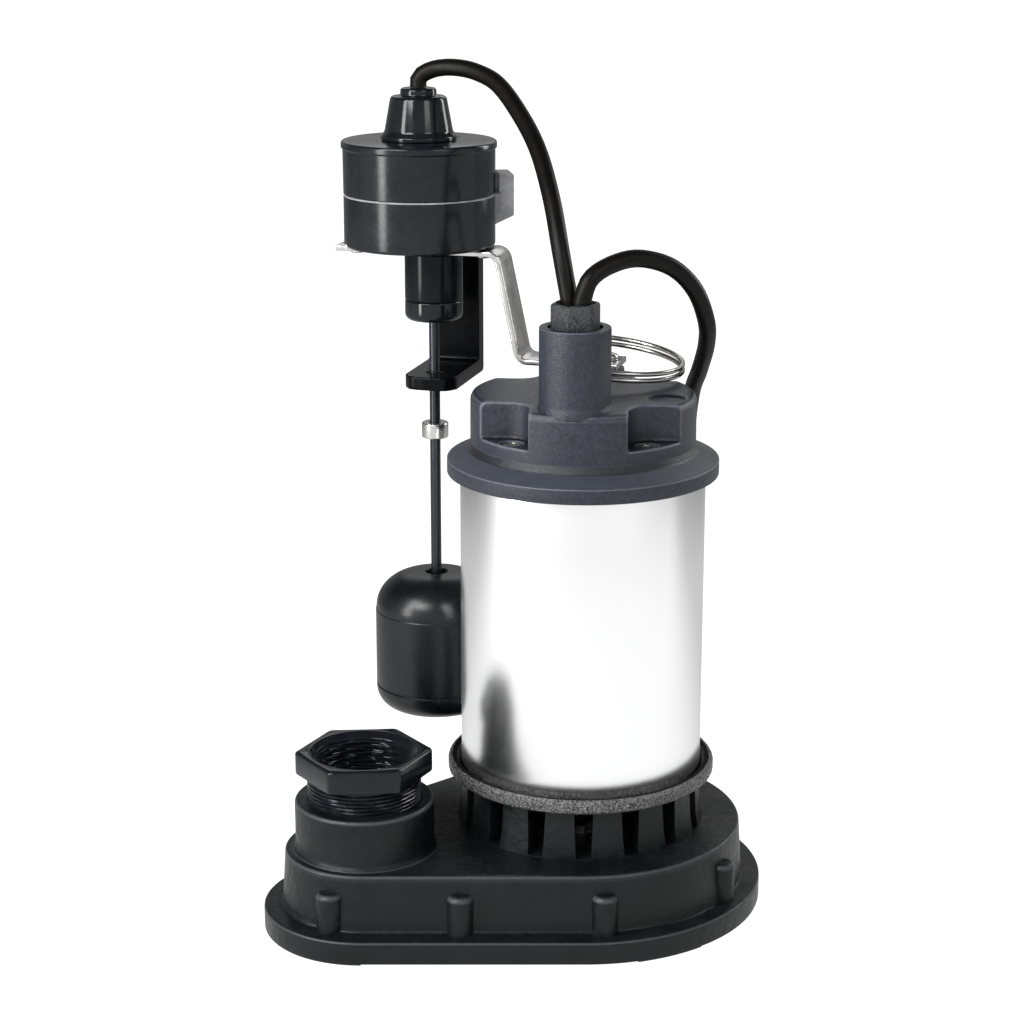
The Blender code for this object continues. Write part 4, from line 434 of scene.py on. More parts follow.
def lathe(name, corners, count, at=(0.0, 0.0), closed=False, steps=6, ease=0.0):
    """A turned piece from the corners of its profile, solid to the axis or closed as a ring."""
    return skinned(name, placed(turned(eased(corners, steps, closed, ease), count), at), closed)


def peg(name, radius, bottom, top, at=(0.0, 0.0), count=32):
    """A plain upright cylinder, as a cutting or joining tool."""
    return lathe(name, [(radius, bottom), (radius, top)], count, at)


def pegs(name, radius, bottom, top, places):
    """The same cylinder at several places."""
    return [peg(name, radius, bottom, top, place) for place in places]


def prism(name, outline, bottom, top):
    """A flat outline raised from bottom to top."""
    outline = np.asarray(outline, float)
    levels = np.array([bottom, top])[:, None]
    height = np.broadcast_to(levels, (2, len(outline)))
    plan = np.broadcast_to(outline, (2, *outline.shape))
    return skinned(name, np.concatenate([plan, height[..., None]], axis=-1))


def slab(name, low, high):
    """A plain block between two corners, as a cutting or joining tool."""
    outline = [(low[0], low[1]), (high[0], low[1]), (high[0], high[1]), (low[0], high[1])]
    return prism(name, outline, low[2], high[2])


def shifted(item, at=(0.0, 0.0, 0.0), yaw=0.0):
    """Puts a finished mesh in its place, with the place in the mesh."""
    item.data.transform(Matrix.Translation(Vector((*at, 0.0)[:3])) @ Matrix.Rotation(yaw, 4, "Z"))
    return item


def baked(item, sharp):
    """Replaces a piece's mesh by what its modifiers make of it."""
    bpy.context.view_layer.update()
    graph = bpy.context.evaluated_depsgraph_get()
    source = item.evaluated_get(graph)
    mesh = bpy.data.meshes.new_from_object(source, preserve_all_data_layers=True, depsgraph=graph)
    item.modifiers.clear()
    item.data = mesh
    smooth(mesh, sharp)


def carved(item, joins=(), cuts=()):
    """Joins and cuts a piece with tools, which are then removed."""
    steps = [(tool, "UNION") for tool in joins] + [(tool, "DIFFERENCE") for tool in cuts]
    for tool, operation in steps:
        modifier = item.modifiers.new(tool.name, "BOOLEAN")
        modifier.operation = operation
        modifier.object = tool
        modifier.solver = "MANIFOLD"
    baked(item, SHARP)
    for tool, operation in steps:
        bpy.data.objects.remove(tool, do_unlink=True)
    return item


def cast(item, joins, cuts, voxel, passes):
    """A carved piece meshed evenly and relaxed, which eases every edge, with its edges marked for painted
    light.
    """
    carved(item, joins, cuts)
    even = item.modifiers.new("Even", "REMESH")
    even.mode = "VOXEL"
    even.voxel_size = voxel
    relax = item.modifiers.new("Relax", "SMOOTH")
    relax.factor = 0.5
    relax.iterations = passes
    baked(item, CAST_SHARP)
    mark_edges(item.data, voxel)
    return item


def read(items, key, width=3, kind=float):
    """A collection's values as an array with rows of the given width."""
    values = np.empty(len(items) * width, kind)
    items.foreach_get(key, values)
    return values.reshape(-1, width)


def mark(mesh, domain, values):
    """Stores the edge mask for the finishes' painted edge highlights and corner shade."""
    layer = mesh.attributes.new("edge", "FLOAT", domain)
    layer.data.foreach_set("value", values.astype(np.float32))


def mark_edges(mesh, size):
    """Marks outer edges for painted highlights and inner corners for painted shade.

    The mark is how far each point stands proud of its neighbours' mean, against the mesh size.
    """
    count = len(mesh.vertices)
    points = read(mesh.vertices, "co")
    ends = read(mesh.edges, "vertices", 2, int)
    here, there = np.concatenate([ends, ends[:, ::-1]]).T
    degree = np.bincount(here, minlength=count)
    total = np.stack([np.bincount(here, points[there, axis], count) for axis in range(3)], axis=1)
    proud = ((points - total / degree[:, None]) * read(mesh.vertices, "normal")).sum(axis=1) / size
    for _ in range(2):
        proud = (proud + np.bincount(here, proud[there], count) / degree) / 2
    gain = 12.0
    mark(mesh, "POINT", np.clip(proud * gain, -1.0, 1.0))


def mark_slopes(mesh, *hollows, wall=0.0, slope=0.0, deep=0.0):
    """Marks eased edges for painted highlights: 4 n (1 - n), where n is the height of a corner's normal.

    Walls and gentle slopes are raised by amounts of their own, and the hollows' heights are set to deep.
    Marks below zero give painted shade, and marks over a quarter a painted highlight.
    """
    used = read(mesh.loops, "vertex_index", 1, int)[:, 0]
    heights = read(mesh.vertices, "co")[used, 2]
    rise = read(mesh.corner_normals, "vector")[:, 2]
    edge = np.clip(4.0 * rise * (1.0 - rise), 0.0, 1.0)
    upright, gentle = 0.05, 0.85
    edge[np.abs(rise) < upright] += wall
    edge[rise > gentle] += slope
    for low, high in hollows:
        edge[(heights > low) & (heights < high)] = deep
    mark(mesh, "CORNER", edge)


def tube(name, points, radius, sides):
    """A round tube along a line of points, as a curve with closed ends."""
    curve = bpy.data.curves.new(name, "CURVE")
    curve.dimensions = "3D"
    curve.bevel_depth = radius
    curve.bevel_resolution = sides
    curve.use_fill_caps = True
    spline = curve.splines.new("POLY")
    spline.points.add(len(points) - 1)
    flat = np.concatenate([points, np.ones((len(points), 1))], axis=1)
    spline.points.foreach_set("co", flat.ravel())
    spline.use_smooth = True
    return linked(name, curve)


def swept(name, line, across, outline):
    """A flat outline carried along a line in one plane: across stays level, up is square to the line."""
    along = np.gradient(line, axis=0)
    along /= np.linalg.norm(along, axis=1, keepdims=True)
    across = np.asarray(across, float)
    up = np.cross(along, across)
    up /= np.linalg.norm(up, axis=1, keepdims=True)
    return skinned(name, line[:, None] + outline[None, :, :1] * across + outline[None, :, 1:] * up[:, None])


def dress(item, look, body, slot, *nodes):
    """Gives a piece its finish, the body that it moves with and the solids that it stands for."""
    item.data.materials.clear()
    item.data.materials.append(finish(look))
    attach(item, body)
    if nodes:
        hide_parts(*nodes)
    return item


def repaint(item, look, chosen):
    """Gives a second finish to the faces that chosen picks by their middles and normals."""
    faces = item.data.polygons
    item.data.materials.append(finish(look))
    picked = chosen(read(faces, "center"), read(faces, "normal"))
    faces.foreach_set("material_index", picked.astype(np.int32))


def refinish(look, *nodes):
    """Puts a finish on solids that stay in view."""
    for name in nodes:
        NODES[name].data.materials.clear()
        NODES[name].data.materials.append(finish(look))


def feed(tree, target, inputs):
    """Sets a node's inputs, each to a value or from another node's socket."""
    for key, value in inputs.items():
        if isinstance(value, bpy.types.NodeSocket):
            tree.links.new(value, target.inputs[key])
        else:
            target.inputs[key].default_value = value


def node(tree, kind, inputs=None, **settings):
    """A new shader node with its settings and inputs."""
    made = tree.nodes.new("ShaderNode" + kind)
    for key, value in settings.items():
        setattr(made, key, value)
    feed(tree, made, inputs or {})
    return made


def maths(tree, operation, *values):
    """The result of a Math node."""
    return node(tree, "Math", dict(enumerate(values)), operation=operation).outputs[0]


def remap(tree, value, source, target=(0.0, 1.0), **settings):
    """A value carried from one range to another."""
    inputs = {"Value": value, "From Min": source[0], "From Max": source[1], "To Min": target[0],
              "To Max": target[1]}
    return node(tree, "MapRange", inputs, **settings).outputs["Result"]


def blend(tree, share, first, second, **settings):
    """A mix of two colours."""
    inputs = {"Factor": share, "A": first, "B": second}
    return node(tree, "Mix", inputs, data_type="RGBA", **settings).outputs["Result"]


def shared_group(name, build, inputs):
    """A node group that is made once: build takes its tree and inputs and returns its outputs' sockets."""
    found = bpy.data.node_groups.get(name)
    if found:
        return found
    tree = bpy.data.node_groups.new(name, "ShaderNodeTree")
    for label, value in inputs.items():
        socket = tree.interface.new_socket(label, in_out="INPUT", socket_type=SOCKETS[np.size(value)])
        socket.default_value = value
    results = build(tree, tree.nodes.new("NodeGroupInput").outputs)
    for label, source in results.items():
        kind = SOCKETS[4 if source.type == "RGBA" else 1]
        tree.interface.new_socket(label, in_out="OUTPUT", socket_type=kind)
    leave = tree.nodes.new("NodeGroupOutput")
    for label, source in results.items():
        tree.links.new(source, leave.inputs[label])
    return tree


def grain_nodes(tree, given):
    """Coarse and fine noise on the piece: a colour between two tones, a roughness and a height."""
    place = node(tree, "TexCoord").outputs["Object"]
    fine = node(tree, "TexNoise", {"Vector": place, "Scale": given["Scale"], "Detail": 3.0}).outputs["Fac"]
    broad = {"Vector": place, "Scale": given["Patches"], "Detail": 4.0}
    patches = node(tree, "TexNoise", broad).outputs["Fac"]
    both = maths(tree, "MULTIPLY_ADD", fine, 0.45, maths(tree, "MULTIPLY", patches, 0.55))
    share = remap(tree, both, (0.36, 0.64))
    return {
        "Colour": blend(tree, share, given["Dark"], given["Light"]),
        "Roughness": remap(tree, share, (0.0, 1.0), (given["Smooth"], given["Rough"])),
        "Height": fine,
    }


def painted_light_nodes(tree, given):
    """A colour with painted highlights on the piece's marked outer edges and painted shade in its corners.
    """
    edge = node(tree, "Attribute", attribute_name="edge").outputs["Fac"]
    amount = maths(tree, "MULTIPLY", remap(tree, edge, (0.25, 0.95)), given["Amount"])
    corner = remap(tree, edge, (-0.8, 0.0), (0.2, 1.0))
    deep = blend(tree, 1.0, given["Colour"], corner, blend_type="MULTIPLY")
    return {"Colour": blend(tree, amount, deep, given["Worn"])}


def scratch_nodes(tree, given):
    """Noise drawn out along one direction: a roughness and a height of thin lines."""
    place = node(tree, "TexCoord").outputs["Object"]
    drawn = node(tree, "VectorMath", {0: place, 1: given["Stretch"]}, operation="MULTIPLY").outputs["Vector"]
    lines = node(tree, "TexNoise", {"Vector": drawn, "Scale": given["Scale"], "Detail": 5.0}).outputs["Fac"]
    return {
        "Roughness": remap(tree, lines, (0.35, 0.7), (given["Smooth"], given["Rough"])),
        "Height": lines,
    }


def tone(colour, factor=1.0):
    """A colour, or one of the user's by its name, made darker or lighter."""
    base = getattr(looks().colours, colour) if isinstance(colour, str) else colour
    return (*(min(1.0, value * factor) for value in base), 1.0)


def finish(name):
    """A finish by its name in the table, made once."""
    found = bpy.data.materials.get(name)
    if found:
        return found
    look = {"metallic": 0.0, "specular": 0.5, "patches": 45.0, **FINISHES[name]}
    material = bpy.data.materials.new(name)
    material.use_nodes = True
    tree = material.node_tree
    tones = [tone(*each) for each in look["tones"]]
    pattern = {"Scale": look["scale"], "Smooth": look["gloss"][0], "Rough": look["gloss"][1]}
    if "stretch" in look:
        pattern["Stretch"] = look["stretch"]
        group = shared_group("Fine_Scratches", scratch_nodes, {
            "Stretch": (1.0, 1.0, 1.0), "Scale": 500.0, "Smooth": 0.1, "Rough": 0.3})
    else:
        pattern.update(Dark=tones[0], Light=tones[1], Patches=look["patches"])
        group = shared_group("Surface_Grain", grain_nodes, {
            "Dark": (0.0, 0.0, 0.0, 1.0), "Light": WHITE, "Scale": 300.0, "Patches": 40.0, "Smooth": 0.3,
            "Rough": 0.5})
    made = node(tree, "Group", pattern, node_tree=group).outputs
    colour = tones[0] if "stretch" in look else made["Colour"]
    # Painted highlights on marked edges and painted shade in marked corners
    if "worn" in look:
        group = shared_group("Edge_Wear", painted_light_nodes, {
            "Colour": (0.0, 0.0, 0.0, 1.0), "Worn": WHITE, "Amount": 0.5})
        edge_shading = {"Colour": colour, "Worn": (*look["worn"][0], 1.0), "Amount": look["worn"][1]}
        colour = node(tree, "Group", edge_shading, node_tree=group).outputs["Colour"]
    strength, distance = look["bump"]
    bump = node(tree, "Bump", {"Strength": strength, "Distance": distance, "Height": made["Height"]})
    feed(tree, tree.nodes["Principled BSDF"], {
        "Base Color": colour,
        "Roughness": made["Roughness"],
        "Normal": bump.outputs["Normal"],
        "Metallic": look["metallic"],
        "Specular IOR Level": look["specular"],
    })
    return material


def pale_floor():
    """White paper: white to the lens, bright in front of the pump and greyer behind it in reflections."""
    material = finish("Pale_Floor")
    tree = material.node_tree
    place = node(tree, "TexCoord").outputs["Object"]
    depth = node(tree, "SeparateXYZ", {"Vector": place}).outputs["Y"]
    fall = remap(tree, depth, (-0.10, 0.34), (1.12, 0.58), interpolation_type="SMOOTHSTEP")
    far = remap(tree, depth, (0.45, 1.1), (1.0, 0.4), interpolation_type="SMOOTHSTEP")
    path = node(tree, "LightPath").outputs
    seen = maths(tree, "MULTIPLY", path["Is Camera Ray"], PAPER_WHITE)
    bright = maths(tree, "MAXIMUM", seen, maths(tree, "MULTIPLY", fall, far))
    direct = maths(tree, "MAXIMUM", path["Is Camera Ray"], path["Is Glossy Ray"])
    both = node(tree, "MixShader", {
        "Fac": maths(tree, "MULTIPLY", direct, 0.85),
        1: tree.nodes["Principled BSDF"].outputs["BSDF"],
        2: node(tree, "Emission", {"Strength": bright}).outputs["Emission"],
    })
    feed(tree, tree.nodes["Material Output"], {"Surface": both.outputs["Shader"]})
    return material


def hull(offset, large=420, small=150):
    """The base's plan grown by an offset: an arc on the motor's axis, then one at the discharge."""
    bearing = math.atan2(DISCHARGE_AT[1], DISCHARGE_AT[0])
    spread = math.acos((WALL_RADIUS - DISCHARGE_WALL) / math.hypot(*DISCHARGE_AT))
    first = np.linspace(bearing + spread, bearing - spread + math.tau, large)
    second = np.linspace(bearing - spread, bearing + spread, small)
    near = on_circle(WALL_RADIUS + offset, np.degrees(first))
    far = on_circle(DISCHARGE_WALL + offset, np.degrees(second), DISCHARGE_AT)
    return np.concatenate([near, far])


def hull_solid(name, levels):
    """The base's plan carried up through levels of (offset, height)."""
    plans = np.stack([hull(offset) for offset, height in levels])
    heights = np.array([height for offset, height in levels])[:, None, None]
    return skinned(name, np.concatenate([plans, np.broadcast_to(heights, (*plans.shape[:2], 1))], axis=-1))


def boss_places(inset):
    """Places of the screw bosses along the base's wall."""
    round_motor = on_circle(WALL_RADIUS - inset, PUMP_BOSS_ANGLES)
    round_discharge = on_circle(DISCHARGE_WALL - inset, (DISCHARGE_BOSS_ANGLE,), DISCHARGE_AT)
    return np.concatenate([round_motor, round_discharge, [(FRONT_BOSS_X, -WALL_RADIUS + inset)]])


def gap_tools():
    """The tapered gaps between the intake's fins: one wedge carried round the crown."""
    wide, narrow = 0.0084 / 2, 0.0066 / 2
    inner, outer = 0.037, 0.058
    levels = ((narrow, LEDGE + FIT), (wide, FIN_TOP + PAST))
    wedge = np.array([[(inner, -half, z), (outer, -half, z), (outer, half, z), (inner, half, z)]
                      for half, z in levels])
    return [skinned("gap", placed(wedge, yaw=turn - RIGHT_ANGLE)) for turn in around(FIN_COUNT)]


class PUMP_OT_base(bpy.types.Operator):
    """The cast volute base with its flange, screw bosses, discharge boss and intake fins"""

    bl_idname = "pump.base"
    bl_label = "Volute base"

    def execute(self, context):
        body = hull_solid("volute_base_casting", eased([
            (0.0, 0.0), (FLANGE_REACH, 0.0, 0.0012), (FLANGE_REACH, 0.0026), (FLANGE_REACH, 0.0082),
            (FLANGE_REACH, 0.0106, 0.0011), (FLANGE_REACH - 0.0024, 0.0108), (0.0050, 0.0111),
            (0.0016, 0.0114, 0.0016), (0.00138, 0.0148), (0.0002, 0.0332), (0.0, LEDGE, 0.0015),
            (-0.0032, LEDGE), (-0.012, LEDGE),
        ]))
        root, shoulder = 0.0016, 0.0038
        joins = [lathe("boss", [
            (0.0, LEDGE - PAST), (BOSS_RADIUS + root, LEDGE - PAST), (BOSS_RADIUS + root, LEDGE),
            (BOSS_RADIUS, LEDGE + root, 0.003), (BOSS_RADIUS, LEDGE + 0.0060),
            (BOSS_RADIUS, BOSS_TOP - shoulder), (BOSS_RADIUS, BOSS_TOP, 0.0018),
            (BOSS_RADIUS - shoulder, BOSS_TOP), (0.0, BOSS_TOP),
        ], 192, DISCHARGE_AT)]
        radius, tab_top = SCREW_BOSS_RADIUS, SCREW_BOSS_TOP
        tab = [(radius, 0.0088), (radius, tab_top, 0.0034), (0.0, tab_top)]
        joins += [lathe("screw_boss", tab, 64, place, steps=8) for place in boss_places(0.0)]
        crown = lathe("intake_crown", [
            (0.0415, LEDGE - PAST), (0.054, LEDGE - PAST), (0.054, LEDGE), (0.0528, LEDGE + 0.007),
            (0.052, FIN_TOP), (0.0415, FIN_TOP),
        ], 288, closed=True)
        chamber_low, chamber_top, passage_low, relief = 0.0047, 0.029, 0.027, 0.0009
        socket, bore = 0.0246, 0.0205
        cuts = [
            hull_solid("recess", [(0.0039, -PAST), (0.0039, 0.005)]),
            hull_solid("chamber", [(-0.0085, chamber_low), (-0.0085, chamber_top)]),
            peg("eye", 0.026, passage_low, LEDGE + PAST, count=72),
            lathe("passage", [
                (socket, BOSS_TOP + PAST), (socket, 0.0366), (bore, 0.0366), (bore, passage_low),
            ], 72, DISCHARGE_AT),
            slab("relief_a", (DISCHARGE_AT[0], -0.083, -PAST), (0.0225, 0.0, relief)),
            slab("relief_b", (0.050, -0.083, -PAST), (0.083, 0.035, relief)),
            slab("relief_c", (DISCHARGE_AT[0], 0.035, -PAST), (0.0175, 0.083, relief)),
        ]
        cuts += pegs("thread", 0.0026, chamber_low, 0.018, boss_places(0.0025))
        ways = on_circle(0.04675, MOTOR_SCREW_ANGLES)
        cuts += pegs("way", 0.0027, passage_low, FIN_TOP + PAST, ways)
        carved(body, joins, cuts)
        # Painted highlights on the base's eased edges, none in its flange and ledge fillets
        mark_slopes(body.data, (0.0109, 0.0150), (LEDGE + FIT / 2, LEDGE + 0.004))
        dress(body, "Base_Enamel", "pump", "cast_paint", "volute_base")
        carved(crown, cuts=gap_tools() + pegs("fin_way", 0.0027, passage_low, FIN_TOP + PAST, ways))
        dress(crown, "Base_Enamel", "pump", "cast_paint")
        refinish("Base_Enamel", "bottom_plate")
        return {"FINISHED"}


class PUMP_OT_bushing(bpy.types.Operator):
    """The reducing bushing: hexagon, outer pipe thread and threaded bore"""

    bl_idname = "pump.bushing"
    bl_label = "Discharge bushing"

    def execute(self, context):
        pitch = looks().sizes.thread_pitch
        depth = looks().sizes.thread_depth
        count = 192
        angles = around(count)
        foot, top = span("discharge_bushing")
        hex_low = top - 0.010
        side = hexed(angles, 0.0296 * math.cos(math.tau / 12), math.radians(4.0), 0.985)

        def thread(radius, start, stop):
            """A helical ridge: the radius falls by a rounded triangle wave of height and angle."""
            heights = np.linspace(start, stop, 150)
            inside = np.minimum(heights - min(start, stop), max(start, stop) - heights)
            fade = np.clip(inside / 0.0015, 0.0, 1.0)
            phase = np.mod(heights[:, None] / pitch - angles / math.tau, 1.0)
            wave = np.clip(np.abs(phase - 0.5) * 2.6 - 0.3, 0.0, 1.0)
            return list(zip(radius - depth * wave * fade[:, None], heights))

        chamfers = (
            (0.0006, 0.0), (0.0002, 0.0002), (0.0, 0.0008), (0.0, 0.0090), (0.0003, 0.0096), (0.0010, 0.01),
        )
        rows = thread(0.0244, foot, hex_low)
        rows += [(side - inset, hex_low + height) for inset, height in chamfers]
        rows += [(0.0232, top), (0.0226, top - 0.0002), (0.0212, top - 0.0022)]
        rows += thread(0.0206, top - 0.0024, foot)
        grid = placed(turned(rows, count), DISCHARGE_AT)
        item = skinned("discharge_bushing_threaded", grid, closed=True, sharp=HEX_SHARP)
        dress(item, "Gloss_Moulding", "pump", "gloss_plastic", "discharge_bushing")
        return {"FINISHED"}


class PUMP_OT_motor(bpy.types.Operator):
    """The polished can and the rough ring under it"""

    bl_idname = "pump.motor"
    bl_label = "Motor can and ring"

    def execute(self, context):
        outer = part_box("motor_can")[1].x
        inner = outer - 0.0012
        low, high = span("motor_can")
        can = lathe("motor_can_polished", [(outer, low), (outer, high), (inner, high), (inner, low)], 256,
                    closed=True, steps=3, ease=0.0003)
        dress(can, "Polished_Can", "pump", "polished_steel", "motor_can")

        low, top = RING_LOW, RING_LOW + 0.006
        seat, floor, hub, seal = top - 0.0034, low + 0.0058, low + 0.0198, low - 0.0142
        ring = eased([
            (0.0053, hub - 0.0073), (0.0113, hub - 0.0073), (0.0113, hub), (0.016, hub), (0.016, floor),
            (0.036, floor), (0.036, seat + 0.009), (0.051, seat + 0.009), (0.051, seat), (0.0528, seat),
            (0.0547, top, 0.0004), (0.0583, top, 0.0020), (0.0583, low, 0.0014), (0.016, low), (0.016, seal),
            (0.0095, seal), (0.0095, seal + 0.01), (0.0053, seal + 0.01),
        ], 8, closed=True)
        count, waves = 720, 14
        grid = turned(ring, count)
        draws = np.random.default_rng(11)
        cycles = draws.integers(60, 240, waves)
        starts = draws.uniform(0.0, math.tau, waves)
        leans = draws.uniform(-900.0, 900.0, waves)
        phase = around(count)[None, :, None] * cycles + starts + grid[:, :, 2, None] * leans
        rim_start, rim_fade, unevenness = 0.0545, 0.002, 0.006
        rim = np.clip((np.hypot(grid[..., 0], grid[..., 1]) - rim_start) / rim_fade, 0.0, 1.0)
        grid[..., :2] *= (1.0 + unevenness * np.sin(phase).mean(axis=2) * rim)[..., None]
        item = skinned("motor_base_ring", grid, closed=True, sharp=50.0)
        dress(item, "Rough_Casting", "pump", "rough_iron", "motor_base_plate")

        def shaded(middles, normals):
            """Painted shade: the top as far as its lip, and the inside under it, in the black rubber finish.
            """
            lip, inside = 0.0562, 0.0500
            out = np.hypot(middles[:, 0], middles[:, 1])
            return out < np.where(normals[:, 2] > 0.5, lip, inside)

        repaint(item, "Seal_Rubber", shaded)

        refinish("Seal_Rubber", "lower_can_gasket", "upper_can_gasket", "shaft_seal", "reed_switch")
        refinish("Lamination", "lower_bearing", "upper_bearing", "stator_core", "rotor_core", "rod_magnet")
        refinish("Copper_Wire", "upper_winding", "lower_winding")
        # The motor screws, seen through the fins' gaps, take the rod's dark finish so the gaps stay dark:
        # painted shade
        refinish("Dark_Rod", *("motor_screw_%d" % index for index in range(1, 4)))
        refinish("Bright_Plate", "motor_shaft", *("plate_screw_%d" % index for index in range(1, 7)))
        refinish("Satin_Moulding", "impeller")
        return {"FINISHED"}


def pocket(side, end):
    """A corner pocket of the cover, seen from above."""
    near_x, near_y, far, corner = 0.0203, 0.0235, 0.061, 0.010
    bend = on_circle(corner, np.linspace(180.0, 270.0, 12), (near_x + corner, near_y + corner))
    outline = np.concatenate([[(near_x, far)], bend, [(far, near_y), (far, far)]])
    return outline * np.array([side, end])


class PUMP_OT_cover(bpy.types.Operator):
    """The coated cover with its corner pockets, riser, lug and bolts"""

    bl_idname = "pump.cover"
    bl_label = "Top cover"

    def execute(self, context):
        coat = ("Cover_Coat", "pump", "powder_coat")
        rim_join = RIM_TOP + 0.0066
        skirt = lathe("cover_rim", [
            (0.0453, rim_join), (0.0453, 0.1843, 0.0004), (0.051, 0.1843, 0.0006), (0.051, 0.1979),
            (0.0528, 0.1979), (0.0528, RIM_BOTTOM), (0.0581, RIM_BOTTOM, 0.0005),
            (0.0581, RIM_TOP - 0.0004, 0.0007), (0.0492, RIM_TOP + 0.0034, 0.0016), (0.0481, rim_join),
        ], 256, closed=True, steps=5)
        # Painted highlights on the rim's edges and upward slopes; painted shade on its walls and the hollow
        # above
        mark_slopes(skirt.data, (RIM_TOP + 0.0033, COVER_TOP), wall=-0.5, slope=0.12, deep=-0.6)
        dress(skirt, *coat)
        body = lathe("top_cover_casting", [
            (0.0474, RIM_TOP), (0.0474, rim_join - 0.0008), (0.0481, rim_join - 0.0004),
            (0.048, COVER_TOP - 0.0026), (0.0472, COVER_TOP - 0.0008), (0.0452, COVER_TOP),
        ], 432)
        foot, under, over = COVER_TOP - PAST, RIM_TOP - PAST, COVER_TOP + PAST
        riser_at = on_cover(*RISER_AT)
        lug_x, lug_y, lug_z = LUG_AT
        lug_radius, lug_half = 0.0077, 0.002
        eye = peg("lug_eye", lug_radius, -lug_half, lug_half, count=48)
        hole = peg("lug_hole", 0.0046, -2 * lug_half, 2 * lug_half)
        for tool in (eye, hole):
            tool.data.transform(Matrix.Translation(LUG_AT) @ Matrix.Rotation(RIGHT_ANGLE, 4, "Y"))
        stem = slab("lug_stem", (lug_x - lug_half, lug_y - lug_radius, foot),
                    (lug_x + lug_half, lug_y + lug_radius, lug_z))
        screws = on_strap(STRAP_FOOT_AT, STRAP_SCREW_OFFSET)
        joins = [stem, eye, *pegs("strap_boss", 0.0068, foot, COVER_TOP + 0.003, screws)]
        bolts = [on_cover(*place) for place in on_circle(BOLT_CIRCLE, BOLT_ANGLES)]
        cuts = [shifted(prism("pocket", pocket(side, end), POCKET_FLOOR, over), yaw=COVER_YAW)
                for side in (-1, 1) for end in (-1, 1)]
        cuts.append(peg("bore", RISER_BORE, under, over, riser_at, 96))
        cuts.append(peg("dimple", 0.008, COVER_TOP - 0.0012, over, on_cover(0.0355, -0.0109), 48))
        cuts += pegs("bolt_hole", 0.0028, under, BOLT_SEAT + PAST, bolts)
        cuts += pegs("bolt_seat", 0.0046, BOLT_SEAT, POCKET_FLOOR + PAST, bolts)
        cuts += pegs("strap_thread", 0.0024, 0.2228, COVER_TOP + 0.005, screws)
        cuts += [
            lathe("headroom", [
                (0.016, under), (0.027, under), (0.027, 0.222), (0.016, 0.222),
            ], 64, closed=True),
            lathe("ways", [(0.0114, under), (0.0114, 0.2077), (0.0054, 0.2077), (0.0054, 0.2094)], 48),
            hole,
        ]
        # Its edge mask gives painted highlights on outer edges and painted shade in inner corners
        cast(body, joins, cuts, looks().sizes.cover_voxel, 2)
        dress(body, *coat, "top_cover")
        root, mouth, socket_floor = RISER_RADIUS + 0.0008, 0.01135, 0.254
        tower = lathe("cover_riser", [
            (RISER_BORE, foot), (root, foot), (root, COVER_TOP), (RISER_RADIUS, COVER_TOP + 0.002, 0.003),
            (RISER_RADIUS, RISER_TOP, 0.0006), (mouth, RISER_TOP, 0.0004), (mouth, socket_floor),
            (RISER_BORE, socket_floor),
        ], 160, riser_at, closed=True)
        # Painted highlights on the riser's eased edges, none at its foot
        mark_slopes(tower.data, (foot - PAST, COVER_TOP + 0.005))
        dress(tower, *coat)

        seat = BOLT_SEAT + FIT
        head, shank, key, head_top = 0.0042, 0.0024, 0.0021, seat + 0.004
        for index, place in enumerate(bolts, 1):
            name = "cover_bolt_%d" % index
            foot = span(name)[0]
            bolt = lathe("socket_bolt_%d" % index, [
                (0.0, foot), (shank, foot, 0.0003), (shank, seat), (head, seat, 0.0002),
                (head, head_top, 0.0014), (key, head_top, 0.0002), (key, seat + 0.0018),
                (0.0, seat + 0.0014),
            ], 48, place)
            dress(bolt, "Bright_Plate", "pump", "zinc_steel", name)
        return {"FINISHED"}


class PUMP_OT_gland(bpy.types.Operator):
    """The gland nut in the riser's mouth and the rubber that grips the cords"""

    bl_idname = "pump.gland"
    bl_label = "Cord gland"

    def execute(self, context):
        at = on_cover(*RISER_AT)
        count = 120
        yaw = COVER_YAW + math.radians(14.5)
        side = hexed(around(count), 0.0106 * math.cos(math.tau / 12), yaw, 0.975)
        foot, top = span("gland_nut")
        hex_low, shank, bore = 0.2543, 0.0095, 0.0079
        rows = [
            (0.0093, foot), (shank, foot + 0.0004), (shank, hex_low), (side - 0.0004, hex_low),
            (side, hex_low + 0.0005), (side, top - 0.0011), (side - 0.0003, top - 0.0004),
            (side - 0.0009, top), (0.0083, top), (bore, top - 0.0005), (bore, foot),
        ]
        item = skinned("gland_nut_hex", placed(turned(rows, count), at), closed=True, sharp=HEX_SHARP)
        dress(item, "Gritty_Coat", "pump", "powder_coat", "gland_nut")
        low, high = span("gland_grommet")
        rubber = lathe("gland_rubber", [(0.0076, low), (0.0076, high, 0.0008), (0.0, high)], 64, at)
        dress(rubber, "Seal_Rubber", "pump", "seal_rubber", "gland_grommet")
        return {"FINISHED"}


def strap_line():
    """The strap's middle, seen from the side: straight runs with an arc at each bend."""
    low, high = span("mounting_strap")
    low += STRAP_THICKNESS / 2
    high -= STRAP_THICKNESS / 2
    corners = [(-0.036, high), (0.0375, high), (STRAP_REACH - 0.0318, low), (STRAP_REACH + 0.0125, low)]
    flat = eased(corners, 14, ease=0.005)
    line = np.column_stack([flat[:, 0], np.zeros(len(flat)), flat[:, 1]])
    return placed(line, SWITCH_AT, SWITCH_YAW)


def screw_head(name, radius, height, shank, seat, foot, at, flip=False):
    """A pan head on a plain shank; flip turns it over about its seat."""
    dome = np.radians(np.linspace(0.0, 90.0, 9))
    crown = np.stack([radius * (0.55 + 0.45 * np.cos(dome)), height * (0.45 + 0.55 * np.sin(dome))], axis=1)
    profile = np.concatenate([[(shank, foot - seat), (shank, 0.0), (radius, 0.0)], crown, [(0.0, height)]])
    if flip:
        profile = profile * np.array([1.0, -1.0])
    return lathe(name, profile + np.array([0.0, seat]), 48, at)


